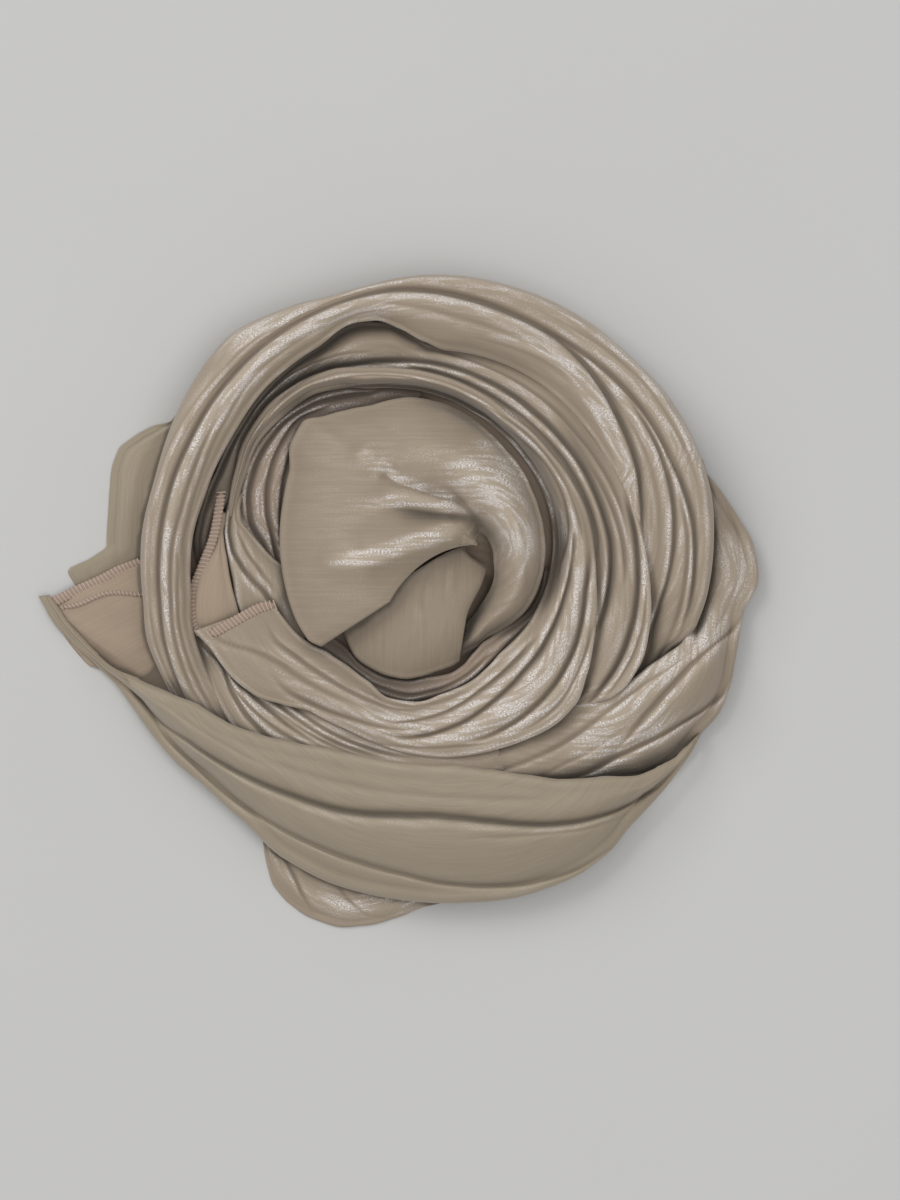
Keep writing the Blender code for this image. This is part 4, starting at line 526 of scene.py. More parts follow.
def section(row, shape, count):
    """One smooth section from the outer rim over the top to the inner rim: radii and
    heights of evenly spaced points, and how freely each may sink into a valley."""
    out, inner, z_out, z_top, z_in = (row[k] for k in ("out", "inner", "z_out", "z_top", "z_in"))
    span = max(out - inner, 0.6)
    roll = min(shape.get("roll", ROLL), 0.35 * span)  # a narrow stretch rolls less
    if "ridge" in row:
        top_out = min(row["ridge"], out - SHOULDER)
        edge_r, edge_z = tall_edge(out, z_out, row["rim"], top_out)
    else:
        top_out = out - roll
        edge_r, edge_z = rounded_edge(out, z_out, row["rim"], (1, roll), 0.6)
    top_in = inner + roll
    lip_r, lip_z = rounded_edge(inner, z_in, z_in - row["drop"], (-1, roll), 0.4)
    r = np.linspace(top_out, top_in, 80)[1:-1]
    s = (r - top_in) / max(top_out - top_in, 0.3)
    peak = shape.get("peak", 0.5)
    over = np.where(s > peak, (s - peak) / (1 - peak), (peak - s) / peak)
    z = z_top - np.where(s > peak, z_top - z_out, z_top - z_in) * over**2
    radii = np.concatenate((edge_r[::-1], r, lip_r))
    heights = np.concatenate((edge_z[::-1], z, lip_z))
    far = np.concatenate(([0.0], np.cumsum(np.hypot(np.diff(radii), np.diff(heights)))))
    free = np.concatenate((
        np.clip((edge_z[::-1] - row["rim"]) / (1.2 * max(z_out - row["rim"], 0.3)), 0, 0.8),
        np.ones(len(r)),
        np.clip((lip_z - z_in + row["drop"]) / (1.2 * max(row["drop"], 0.3)), 0, 0.8),
    ))
    even = np.linspace(0, far[-1], count)
    return np.interp(even, far, radii), np.interp(even, far, heights), np.interp(even, far, free), far[-1]


def valley(x, outer_reach, inner_reach):
    """Depth share of a valley at a distance from its line, so that cloth arches between
    one valley and the next."""
    blunt = 0.18  # rounds the bottom of the valley
    reach = np.where(x > 0, outer_reach, inner_reach)
    return np.exp(-(np.hypot(x, blunt) - blunt) / (0.45 * reach))


def sunk_by_folds(folds, angles, radii):
    """How far the fold lines sink the sections, a valley on a valley counting once."""
    total = np.zeros_like(radii)
    for depth, outer_reach, inner_reach, at, line in folds:
        here = (angles > at[0] - FOLD_RUN) & (angles < at[-1] + FOLD_RUN)
        if not here.any():
            continue
        a = angles[here]
        mid = smooth(at, line, np.clip(a, at[0], at[-1]))
        fade = np.clip(np.minimum(a - at[0] + FOLD_RUN, at[-1] + FOLD_RUN - a) / FOLD_FADE, 0, 1)
        fade = fade * fade * (3 - 2 * fade)
        dip = depth**MAIN_FOLDS * fade[:, None] * valley(radii[here] - mid[:, None], outer_reach, inner_reach)
        total[here] += dip**2
    return total**0.5


def minor_folds(plan, count, seed, deepest):
    """Short fine creases between the main folds, which wander along the cloth."""
    pick = np.random.default_rng(seed)
    start, end = plan["angle"][0], plan["angle"][-1]
    found = []
    for _ in range(count):
        length = pick.uniform(12, 48)  # degrees
        at = np.clip(pick.uniform(start, end) + length * np.linspace(-0.5, 0.5, 5), start, end)
        if at[-1] - at[0] < 8:
            continue
        at = np.linspace(at[0], at[-1], 5)
        share = pick.uniform(0.06, 0.94) + pick.uniform(-0.14, 0.14) * np.linspace(-1, 1, 5) ** 3
        share = np.clip(share + pick.uniform(-0.02, 0.02, 5), 0.03, 0.97)
        inner, out = smooth(plan["angle"], plan["inner"], at), smooth(plan["angle"], plan["out"], at)
        sharp, soft = pick.uniform(0.8, 1.8), pick.uniform(2.5, 6.0)
        if pick.random() < 0.5:  # the steep side may be either one
            sharp, soft = soft, sharp
        found.append((pick.uniform(0.3, 1.0) * deepest, sharp, soft, at, inner + (out - inner) * share))
    return tuple(found)


def path_points(line, step):
    """Evenly spaced points on a smooth curve through a short line of points."""
    pts = np.asarray(line, float)
    ends = np.vstack((2 * pts[0] - pts[1], pts, 2 * pts[-1] - pts[-2]))
    found = []
    for k in range(len(pts) - 1):
        p0, p1, p2, p3 = ends[k : k + 4]
        for t in np.linspace(0, 1, 24, endpoint=False):
            found.append(0.5 * (2 * p1 + (p2 - p0) * t + (2 * p0 - 5 * p1 + 4 * p2 - p3) * t * t
                                + (3 * p1 - p0 - 3 * p2 + p3) * t**3))
    found = np.array(found + [pts[-1]])
    far = np.concatenate(([0.0], np.cumsum(np.linalg.norm(np.diff(found, axis=0), axis=1))))
    even = np.linspace(0, far[-1], max(2, int(far[-1] / step) + 1))
    return np.column_stack([np.interp(even, far, found[:, k]) for k in range(found.shape[1])])


def sunk_by_creases(creases, x, y):
    """How far creases drawn in plan sink the points; a negative one lifts them."""
    total = np.zeros_like(x)
    for depth, left, right, fade_in, fade_out, line in creases:
        pts = path_points(line, 0.6)
        way = np.gradient(pts, axis=0)
        way /= np.linalg.norm(way, axis=1)[:, None]
        dx, dy = x[..., None] - pts[:, 0], y[..., None] - pts[:, 1]
        near = np.argmin(dx * dx + dy * dy, axis=-1)
        pick = np.take_along_axis
        ex = pick(dx, near[..., None], -1)[..., 0]
        ey = pick(dy, near[..., None], -1)[..., 0]
        side = way[near, 0] * ey - way[near, 1] * ex
        along = way[near, 0] * ex + way[near, 1] * ey
        reach = np.where(side > 0, left, right)
        away = np.hypot(np.hypot(side, 0.5) - 0.5, 0.6 * along) / reach
        part = np.linspace(0, 1, len(pts))
        fade = np.clip(np.minimum(part / fade_in, (1 - part) / fade_out), 0, 1)[near]
        here = depth * fade * fade * (3 - 2 * fade)
        total += here * np.where(depth < 0, np.exp(-1.4 * away * away), np.exp(-2.2 * away))
    return total


def wrinkles(along, across, shape):
    """Fine wrinkles that run along the cloth, in patches, as heights in millimetres."""
    seed = shape["seed"]
    long, short = shape.get("wrinkle", (40.0, 6.0))
    found = np.empty(along.size)
    a, b = (along / long).ravel(), (across / short).ravel()
    for k, (p, q) in enumerate(zip(a.tolist(), b.tolist())):
        first = noise.noise(Vector((p, q, seed)))
        patch = noise.noise(Vector((0.6 * p, 0.22 * q, seed + 7.3)))
        second = noise.noise(Vector((1.7 * p, 2.1 * q, seed + 3.1)))
        found[k] = (first + 0.45 * second) * (0.75 + 0.9 * patch)
    return shape.get("wrinkle_depth", 0.22) * found.reshape(along.shape)


def normals(points):
    """Unit normals of a grid of points, which may all point to the underside."""
    found = np.cross(np.gradient(points, axis=0), np.gradient(points, axis=1))
    return found / np.maximum(np.linalg.norm(found, axis=-1, keepdims=True), 1e-9)


def crests(points, shape):
    """How far each point stands above the cloth at its sides, mostly from -1 to 1, with the
    glints drawn in plan as painted highlights and painted shade.  A plain edge and an upright face are left
    out."""
    reach = shape.get("crest", 3.2)
    z = points[..., 2]
    gap = np.linalg.norm(np.diff(points, axis=1), axis=2).mean()
    full = 0.22 * reach  # the height of a full crest
    reach = max(2, int(round(reach / gap)))
    wide = np.pad(z, ((0, 0), (reach, reach)), mode="reflect", reflect_type="odd")
    kernel = np.hanning(2 * reach + 3)[1:-1]
    kernel /= kernel.sum()
    level = np.stack([np.convolve(line, kernel, mode="valid") for line in wide])
    found = np.clip((z - level) / full, -1, 1)
    found *= np.where(found > 0, shape.get("shine", 1.0), shape.get("gloom", 1.0))
    if "fan" in shape or "flat" in shape:
        plain, blend = 3.5, 5  # widths of the plain edge and of the change to crests
        far = np.arange(z.shape[1]) * gap
        found *= np.clip((np.minimum(far, far[::-1]) - plain) / blend, 0, 1)
    drawn = sunk_by_creases(shape.get("glints", ()), points[..., 0], points[..., 1])
    return found - drawn * np.clip((abs(normals(points)[..., 2]) - 0.15) / 0.35, 0, 1)


def add(name, data):
    """A new object in the scene."""
    made = bpy.data.objects.new(name, data)
    bpy.context.scene.collection.objects.link(made)
    return made


def cloth(name, points, uv, finish, crest):
    """A grid of points in millimetres as a thin shell of cloth with its thread map."""
    along, across = points.shape[:2]
    mesh = bpy.data.meshes.new(name)
    index = np.arange(along * across).reshape(along, across)
    quads = np.stack((index[1:, :-1], index[1:, 1:], index[:-1, 1:], index[:-1, :-1]), axis=-1)
    mesh.from_pydata((points.reshape(-1, 3) * MM).tolist(), [], quads.reshape(-1, 4).tolist())
    mesh.polygons.foreach_set("use_smooth", np.ones(len(mesh.polygons), dtype=bool))
    threads = mesh.uv_layers.new(name="threads")
    corner = np.empty(len(mesh.loops), dtype=np.int32)
    mesh.loops.foreach_get("vertex_index", corner)
    threads.data.foreach_set("uv", (uv.reshape(-1, 2)[corner] * MM).ravel().astype(np.float32))
    # the crests with the drawn glints and shaded bands, from which the material paints highlights and shade
    raised = mesh.attributes.new("crest", "FLOAT", "POINT")
    raised.data.foreach_set("value", crest.ravel().astype(np.float32))
    mesh.materials.append(finish)
    piece = add(name, mesh)
    shell = piece.modifiers.new("cloth thickness", "SOLIDIFY")
    shell.thickness = THICK * MM
    shell.offset = -1.0
    return piece


def stations(tables, shape):
    """The angles of the sections, and every column of the tables there.  The ends run on
    under their neighbours, sinking and narrowing."""
    plan = tables[0]
    start, end = plan["angle"][0], plan["angle"][-1]
    reach = float(np.mean(plan["out"]))
    count = max(8, int(math.radians(end - start) * reach / shape.get("step", 1.6)))
    before, after, sink, narrow = shape.get("ends", (0, 0, 0, 0))
    angles = np.linspace(start - before, end + after, count)
    at = np.clip(angles, start, end)
    row = {k: smooth(t["angle"], v, at) for t in tables for k, v in t.items() if k != "angle"}
    past = np.where(angles < start, (start - angles) / max(before, 0.1), (angles - end) / max(after, 0.1))
    past = np.clip(past, 0, 1) ** 1.5
    for key in ("z_out", "z_top", "z_in", "rim"):
        row[key] = row[key] - sink * past
    width = row["out"] - row["inner"]
    grow = shape.get("grow", (0.0, 0.0))
    row["out"] = row["out"] + grow[0] - narrow * width * past
    row["inner"] = row["inner"] - grow[1] + narrow * width * past
    return angles, row


def thread_lines(x, y, radii, turned, part, plan, centre, shape):
    """How far each point lies along and across the threads, in millimetres."""
    if "threads" in shape:  # straight, at this angle
        way = math.radians(shape["threads"])
        return x * math.cos(way) + y * math.sin(way), y * math.cos(way) - x * math.sin(way)
    if "bend" in shape:  # round the neck at its right and straight at its left
        straight = turned > 90
        round_neck = (np.radians(turned) - 0.5 * math.pi) * shape["bend"]
        return np.where(straight, centre[0] - x, round_neck), np.where(straight, y - centre[1], radii)
    middle = float(np.mean([np.mean(plan["out"]), np.mean(plan["inner"])]))
    return np.radians(turned) * middle, part


def band(name, *tables, centre=CENTRE, finish="shimmer organza", **shape):
    """One stretch of cloth over its solid.

    across, step    the number of points of a section, and how far the sections stand apart
    peak, roll      where the top lies between the edges, and how widely the edges roll
    grow, ends      what the edges gain; how far the ends run on, sink and narrow
    folds, creases  the valleys drawn along the stretch and in plan
    minor           the number, the seed and the greatest depth of short random folds
    seed, wrinkle, wrinkle_depth        the fine wrinkles, with their length and width
    crest, shine, gloom, glints         the painted highlights on what catches the light and the painted shade on what lies in shade
    fan, flat       a fan, and a piece of one layer: both have edges without a crest
    turn            how suddenly a fan leaves its start
    threads, bend   threads that run straight, at an angle; threads that go round the neck
    """
    plan = tables[0]
    angles, row = stations(tables, shape)
    found = [section({k: v[i] for k, v in row.items()}, shape, shape["across"]) for i in range(len(angles))]
    radii, z, free = (np.array([f[k] for f in found]) for k in range(3))
    length = np.array([f[3] for f in found])
    folds = shape.get("folds", ())
    if "minor" in shape:
        folds += minor_folds(plan, *shape["minor"])
    z = z - sunk_by_folds(folds, angles, radii) * free
    turned = np.repeat(angles[:, None], radii.shape[1], axis=1)
    if "start" in row:
        span = np.maximum(row["out"] - row["inner"], 1e-6)[:, None]
        near = 1 - np.clip((radii - row["inner"][:, None]) / (0.55 * span), 0, 1)
        turned = turned + (row["start"] - angles)[:, None] * near ** shape.get("turn", 2.0)
    a = np.radians(turned)
    x, y = centre[0] + radii * np.cos(a), centre[1] + radii * np.sin(a)
    z = z - sunk_by_creases(shape.get("creases", ()), x, y) * free
    part = np.linspace(0, 1, radii.shape[1])[None, :] * length[:, None]
    flow = thread_lines(x, y, radii, turned, part, plan, centre, shape)
    points = np.stack((x, y, z), axis=-1)
    normal = normals(points)
    normal *= np.where(np.mean(normal[..., 2]) < 0, -1, 1)
    bump = wrinkles(*flow, shape) * np.clip(free * 1.6, 0.15, 1)
    points = points + normal * (bump - SKIN)[..., None]
    points[..., 2] = np.maximum(points[..., 2], TABLE_GAP)
    piece = cloth(name + "_cloth", points, np.stack(flow, axis=-1), finishes()[finish], crests(points, shape))
    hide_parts(name)
    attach(piece, "root")
    runs = np.sum(np.linalg.norm(np.diff(points, axis=0), axis=2), axis=0)
    widths = np.sum(np.linalg.norm(np.diff(points, axis=1), axis=2), axis=1)
    run, wide, area = float(runs[len(runs) // 2]), float(widths.mean()), None
    if "fan" in shape:  # cut like a triangle from the neck or the tip
        area = round(sum(face.area for face in piece.data.polygons), 5)
        wide = float(widths.max())
        run = 2 * area / (wide * MM) / MM


def linear(code):
    """An sRGB hex colour as linear values."""
    parts = [int(code[k : k + 2], 16) / 255 for k in (1, 3, 5)]
    return [c / 12.92 if c <= 0.04045 else ((c + 0.055) / 1.055) ** 2.4 for c in parts]


def node(tree, kind, settings=None, **links):
    """Adds a node with its settings; a link is a value or an output to plug in."""
    made = tree.nodes.new(kind)
    for key, value in (settings or {}).items():
        setattr(made, key, value)
    for key, value in links.items():
        socket = made.inputs[int(key[1:]) if key[0] == "i" and key[1:].isdigit() else key.replace("_", " ")]
        if isinstance(value, bpy.types.NodeSocket):
            tree.links.new(value, socket)
        else:
            socket.default_value = value
    return made


def new_finish(name):
    """A material without nodes, and its node tree."""
    finish = bpy.data.materials.new(name)
    finish.use_nodes = True
    tree = finish.node_tree
    tree.nodes.clear()
    return finish, tree


def organza(name, colour, warm, sparkle=1.0):
    """Shimmer organza: plain-woven polyester with flat foil-like threads.  The cloth is
    softly satin, and its foil glints are painted highlights, white grains in its colour on the crests of the
    folds; its valleys and hollows get painted shade."""
    finish, tree = new_finish(name)
    uv = node(tree, "ShaderNodeUVMap", {"uv_map": "threads"}).outputs[0]
    crest = node(tree, "ShaderNodeAttribute", {"attribute_name": "crest"}).outputs["Fac"]
    flat = {"noise_dimensions": "2D"}
    soft = {"interpolation_type": "SMOOTHSTEP"}
    times = {"operation": "MULTIPLY"}
    # grains of foil thread, about 0.25 mm wide and 0.7 mm long, for the bump and the painted glints
    at = node(tree, "ShaderNodeMapping", None, Vector=uv, Scale=(1 / 0.0007, 1 / 0.00025, 1))
    grain = node(tree, "ShaderNodeTexNoise", flat, Vector=at.outputs[0], Scale=1.0, Detail=2.0,
                 Roughness=0.6).outputs["Fac"]
    # slubs, uneven yarns 0.8 mm wide that run for 26 mm
    at = node(tree, "ShaderNodeMapping", None, Vector=uv, Scale=(1 / 0.026, 1 / 0.0008, 1))
    slub = node(tree, "ShaderNodeTexNoise", flat, Vector=at.outputs[0], Scale=1.0, Detail=2.0,
                Roughness=0.6).outputs["Fac"]
    # streaks of 14 by 2 mm where the threads are pulled tighter; they vary the tone, and the painted glints
    # show only in them
    at = node(tree, "ShaderNodeMapping", None, Vector=uv, Scale=(1 / 0.014, 1 / 0.002, 1))
    patch = node(tree, "ShaderNodeTexNoise", flat, Vector=at.outputs[0], Scale=1.0,
                 Detail=2.0).outputs["Fac"]
    tone = node(tree, "ShaderNodeMix", {"data_type": "RGBA"}, i0=patch, i6=(*linear(colour), 1),
                i7=(*linear(warm), 1))
    # painted shade: the colour is darkened in the valleys and in the deep hollows
    hollow_shade = node(tree, "ShaderNodeAttribute", {"attribute_name": "hollow_shade"}).outputs["Fac"]
    painted_hollow_shade = node(tree, "ShaderNodeMapRange", soft, Value=hollow_shade, From_Min=0.08, From_Max=0.9,
                       To_Min=1.0, To_Max=0.5)
    painted_valley_shade = node(tree, "ShaderNodeMapRange", soft, Value=crest, From_Min=-0.95, From_Max=0.85,
                       To_Min=0.62, To_Max=1.14)
    slub_tone = node(tree, "ShaderNodeMapRange", soft, Value=slub, From_Min=0.3, From_Max=0.7,
                     To_Min=0.96, To_Max=1.04)
    slub_and_painted_shade = node(tree, "ShaderNodeMath", times, i0=painted_valley_shade.outputs[0], i1=slub_tone.outputs[0])
    slub_and_painted_shade = node(tree, "ShaderNodeMath", times, i0=slub_and_painted_shade.outputs[0], i1=painted_hollow_shade.outputs[0])
    shade = node(tree, "ShaderNodeVectorMath", {"operation": "SCALE"}, i0=tone.outputs[2],
                 Scale=slub_and_painted_shade.outputs[0])
    # painted highlights: the glints are painted on crests, and only in those streaks
    raised = node(tree, "ShaderNodeMapRange", soft, Value=crest, From_Min=0.0, From_Max=0.75,
                  To_Min=0.05, To_Max=1.0)
    glint_streaks = node(tree, "ShaderNodeMapRange", soft, Value=patch, From_Min=0.40, From_Max=0.62,
                 To_Min=0.15, To_Max=1.0)
    lit = node(tree, "ShaderNodeMath", times, i0=raised.outputs[0], i1=glint_streaks.outputs[0])
    grains = node(tree, "ShaderNodeMapRange", soft, Value=grain, From_Min=0.46, From_Max=0.58,
                  To_Min=0.0, To_Max=sparkle)
    glint = node(tree, "ShaderNodeMath", times, i0=grains.outputs[0], i1=lit.outputs[0])
    mixed = node(tree, "ShaderNodeMath", times, i0=glint.outputs[0], i1=0.95)
    # painted highlight: the glints mix a near-white into the cloth colour
    colour_with_painted_glints = node(tree, "ShaderNodeMix", {"data_type": "RGBA"}, i0=mixed.outputs[0], i6=shade.outputs[0],
                i7=(*linear("#F4F3F5"), 1))
    height = node(tree, "ShaderNodeMath", {"operation": "MULTIPLY_ADD"}, i0=slub, i1=0.35, i2=grain)
    bump = node(tree, "ShaderNodeBump", None, Strength=0.25, Distance=0.0002, Height=height.outputs[0])
    gloss = node(tree, "ShaderNodeMapRange", None, Value=glint.outputs[0], From_Min=0.0, From_Max=0.6,
                 To_Min=0.68, To_Max=0.48)
    along = node(tree, "ShaderNodeTangent", {"direction_type": "UV_MAP", "uv_map": "threads"})
    skin = node(tree, "ShaderNodeBsdfPrincipled", None, Base_Color=colour_with_painted_glints.outputs[2], Metallic=0.1, IOR=1.5,
                Anisotropic=0.4, Anisotropic_Rotation=0.25, Sheen_Weight=0.35, Sheen_Roughness=0.5,
                Sheen_Tint=(*linear("#F3EEEA"), 1), Roughness=gloss.outputs[0], Normal=bump.outputs[0],
                Tangent=along.outputs[0])
    node(tree, "ShaderNodeOutputMaterial", None, Surface=skin.outputs[0])
    return finish


def overlock(name, colour):
    """Overlocked polyester hem: threads laid side by side across a rolled edge, matte."""
    finish, tree = new_finish(name)
    place = node(tree, "ShaderNodeTexCoord").outputs["Object"]
    fuzz = node(tree, "ShaderNodeTexNoise", None, Vector=place, Scale=1 / 0.0006, Detail=2.0).outputs["Fac"]
    tint = node(tree, "ShaderNodeMapRange", None, Value=fuzz, To_Min=0.86, To_Max=1.08)
    shade = node(tree, "ShaderNodeVectorMath", {"operation": "SCALE"}, i0=linear(colour),
                 Scale=tint.outputs[0])
    bump = node(tree, "ShaderNodeBump", None, Strength=0.5, Distance=0.0002, Height=fuzz)
    skin = node(tree, "ShaderNodeBsdfPrincipled", None, Base_Color=shade.outputs[0], Roughness=0.6,
                Sheen_Weight=0.2, Normal=bump.outputs[0])
    node(tree, "ShaderNodeOutputMaterial", None, Surface=skin.outputs[0])
    return finish


def table_top(name, colour):
    """Painted board, satin and smooth, with a faint orange-peel surface."""
    finish, tree = new_finish(name)
    place = node(tree, "ShaderNodeTexCoord").outputs["Object"]
    cloud = node(tree, "ShaderNodeTexNoise", None, Vector=place, Scale=9.0, Detail=3.0).outputs["Fac"]
    tint = node(tree, "ShaderNodeMapRange", None, Value=cloud, To_Min=0.985, To_Max=1.015)
    shade = node(tree, "ShaderNodeVectorMath", {"operation": "SCALE"}, i0=linear(colour),
                 Scale=tint.outputs[0])
    peel = node(tree, "ShaderNodeTexNoise", None, Vector=place, Scale=1 / 0.002, Detail=2.0).outputs["Fac"]
    bump = node(tree, "ShaderNodeBump", None, Strength=0.08, Distance=0.0002, Height=peel)
    skin = node(tree, "ShaderNodeBsdfPrincipled", None, Base_Color=shade.outputs[0], Roughness=0.6,
                Normal=bump.outputs[0])
    node(tree, "ShaderNodeOutputMaterial", None, Surface=skin.outputs[0])
    return finish


def finishes():
    """All materials, after the finishes of the scarf have been made once."""
    made = bpy.data.materials
    if "shimmer organza" not in made:
        colours = bpy.context.scene.scarf_colours
        organza("shimmer organza", colours_hex(colours.cloth), "#A3917E")
        organza("shimmer organza, drawn smooth", "#A39784", "#A49580", 0.55)
        organza("shimmer organza, single layer", "#B09E89", "#AC9783", 0.4)
        # a darker copy of the cloth, painted shade for the layers that lie in shade
        organza("shimmer organza, layers in shade", "#958373", "#8C7A67", 0.7)
        overlock("overlock thread", "#C8B2A2")
        overlock("overlock thread, laid", "#9F8B7C")
    return made


def colours_hex(value):
    """A colour property, stored linear, as sRGB hex."""
    parts = [12.92 * c if c <= 0.0031308 else 1.055 * c ** (1 / 2.4) - 0.055 for c in value]
    return "#" + "".join(f"{round(255 * min(max(c, 0), 1)):02X}" for c in parts)


class ScarfColours(bpy.types.PropertyGroup):
    cloth: FloatVectorProperty(name="Cloth", description="Colour of the shimmer cloth",
                               subtype="COLOR", size=3, default=linear("#A39683"))


class ScarfSizes(bpy.types.PropertyGroup):
    hem: FloatProperty(name="Hem width", description="Width of the overlocked hem",
                       default=0.0038, unit="LENGTH", precision=4)
    stitch: FloatProperty(name="Stitch pitch", description="Distance between overlock stitches",
                          default=0.0015, unit="LENGTH")
    thread: FloatProperty(name="Thread radius", description="Radius of the overlock thread",
                          default=0.00026, unit="LENGTH", precision=5)


class SCARF_OT_stage(bpy.types.Operator):
    """Table, soft studio light and the camera straight above"""
    bl_idname = "scarf.stage"
    bl_label = "Stage"

    def execute(self, context):
        scene = context.scene
        mesh = bpy.data.meshes.new("table")
        half = 3.0
        corners = ((-half, -half, 0), (half, -half, 0), (half, half, 0), (-half, half, 0))
        mesh.from_pydata(corners, [], [(0, 1, 2, 3)])
        mesh.materials.append(table_top("painted board", "#CBCBCA"))
        add("table", mesh)
        world = bpy.data.worlds.new("soft room light")
        scene.world = world
        world.use_nodes = True
        back = world.node_tree.nodes["Background"]
        back.inputs["Color"].default_value = (*linear("#EEEDEB"), 1)
        back.inputs["Strength"].default_value = 0.60
        for name, place, size, power in (
            ("window", (-1.9, 1.8, 2.3), 2.0, 46.0),
            ("ceiling", (0.7, -0.4, 2.6), 1.6, 15.0),
        ):
            light = bpy.data.lights.new(name, "AREA")
            light.size, light.energy = size, power
            lamp = add(name, light)
            lamp.location = place
            lamp.rotation_euler = (-Vector(place)).to_track_quat("-Z", "Y").to_euler()
        sensor, away = 36.0, 2.0
        seen = 0.456  # height of the photograph, measured on the scarf
        lens = bpy.data.cameras.new("camera")
        lens.sensor_fit, lens.sensor_height, lens.sensor_width = "VERTICAL", sensor, sensor
        lens.lens = sensor * away / seen
        scene.camera = add("camera", lens)
        scene.camera.location = (0.0196, 0.0008, 2.02)  # over the middle of the photograph
        scene.view_settings.view_transform = "Standard"
        return {"FINISHED"}


class SCARF_OT_outer_coil(bpy.types.Operator):
    """The gathered outer turn, from the lower left over the top to the right"""
    bl_idname = "scarf.outer_coil"
    bl_label = "Outer coil"

    def execute(self, context):
        band("outer_coil", OUTER_COIL, OUTER_COIL_Z, across=118, peak=0.55, grow=(0.1, 0.9),
             ends=(5, 6, 3.0, 0.0), folds=OUTER_FOLDS, minor=(2, 21, 0.5), seed=1.0, gloom=0.7,
             glints=OUTER_GLINTS + PAINTED_SHADE_BANDS)
        return {"FINISHED"}


class SCARF_OT_middle_coil(bpy.types.Operator):
    """The gathered turn inside the outer one, upper half"""
    bl_idname = "scarf.middle_coil"
    bl_label = "Middle coil"

    def execute(self, context):
        band("middle_coil", MIDDLE_COIL, MIDDLE_COIL_Z, across=64, grow=(0.9, 0.9),
             ends=(5, 13, 3.0, 0.25), folds=MIDDLE_FOLDS, minor=(2, 22, 0.4), seed=2.0, glints=PAINTED_SHADE_BANDS)
        return {"FINISHED"}


class SCARF_OT_inner_coil(bpy.types.Operator):
    """The stretch with the hemmed end, round the bottom, the right and the top"""
    bl_idname = "scarf.inner_coil"
    bl_label = "Inner coil"

    def execute(self, context):
        band("inner_coil", INNER_COIL, INNER_COIL_Z, across=84, step=1.15, peak=0.6, grow=(0.7, 0.0),
             ends=(0, 4, 1.5, 0.0), folds=INNER_FOLDS, minor=(2, 23, 0.4), seed=3.0, gloom=0.75,
             glints=INNER_GLINTS + PAINTED_SHADE_BANDS)
        return {"FINISHED"}


class SCARF_OT_sweep(bpy.types.Operator):
    """The broad stretch across the bottom and the bulge that turns up the right side"""
    bl_idname = "scarf.sweep"
    bl_label = "Sweep and right turn"

    def execute(self, context):
        band("lower_sweep", LOWER_SWEEP, LOWER_SWEEP_Z, finish="shimmer organza, drawn smooth",
             across=120, peak=0.3, roll=5.0, grow=(0.0, 0.9), ends=(0, 6, 6.0, 0.45),
             folds=SWEEP_FOLDS, minor=(3, 24, 0.4), seed=4.0, wrinkle=(60.0, 14.0), wrinkle_depth=0.2,
             shine=0.35, gloom=0.6)
        band("right_turn", RIGHT_TURN, RIGHT_TURN_Z, across=96, step=1.0, peak=0.35, roll=4.0,
             grow=(0.0, 1.7), ends=(14, 3, 0.6, 0.0), folds=TURN_FOLDS, minor=(2, 25, 0.4),
             seed=5.0, wrinkle=(50.0, 10.0), shine=0.7, gloom=0.6, glints=TURN_GLINTS)
        return {"FINISHED"}


class SCARF_OT_small_folds(bpy.types.Operator):
    """The narrow folds at the left and lower left, and the low layer round the petal"""
    bl_idname = "scarf.small_folds"
    bl_label = "Small folds"

    def execute(self, context):
        band("lower_left_folds", LOWER_LEFT_FOLDS, LOWER_LEFT_FOLDS_Z, across=60, step=1.2,
             grow=(0.9, 0.9), ends=(3, 6, 0.6, 0.0), folds=LOWER_LEFT_FOLD_LINES, minor=(3, 26, 0.5),
             seed=6.0)
        band("left_folds", LEFT_FOLDS, LEFT_FOLDS_Z, across=60, step=1.2, grow=(0.9, 0.9),
             ends=(4, 4, 1.5, 0.0), folds=LEFT_FOLD_LINES, seed=7.0)
        band("hem_corner", HEM_CORNER, HEM_CORNER_Z, finish="shimmer organza, single layer",
             across=48, step=1.2, seed=8.0, flat=True)
        band("nest_layer", NEST_LAYER, NEST_LAYER_Z, finish="shimmer organza, layers in shade",
             across=56, step=1.3, grow=(0.9, 0.9), ends=(4, 3, 1.5, 0.0), folds=NEST_FOLDS,
             minor=(6, 28, 0.5), seed=9.0)
        return {"FINISHED"}


class SCARF_OT_centre(bpy.types.Operator):
    """The bunch that turns over and opens as a petal, and the tongue under it"""
    bl_idname = "scarf.centre"
    bl_label = "Petal and tongue"

    def execute(self, context):
        band("centre_petal", PETAL, centre=NECK, across=150, step=0.9, peak=0.6, fan=True, turn=1.0,
             bend=24.0, creases=PETAL_CREASES, seed=10.0, wrinkle=(40.0, 14.0), wrinkle_depth=0.1,
             crest=7.0, gloom=0.8, glints=PETAL_GLINTS)
        band("centre_tongue", TONGUE, centre=NECK, across=110, step=0.8, fan=True, threads=90,
             creases=TONGUE_CREASES, seed=11.0, wrinkle=(40.0, 12.0), wrinkle_depth=0.14)
        return {"FINISHED"}


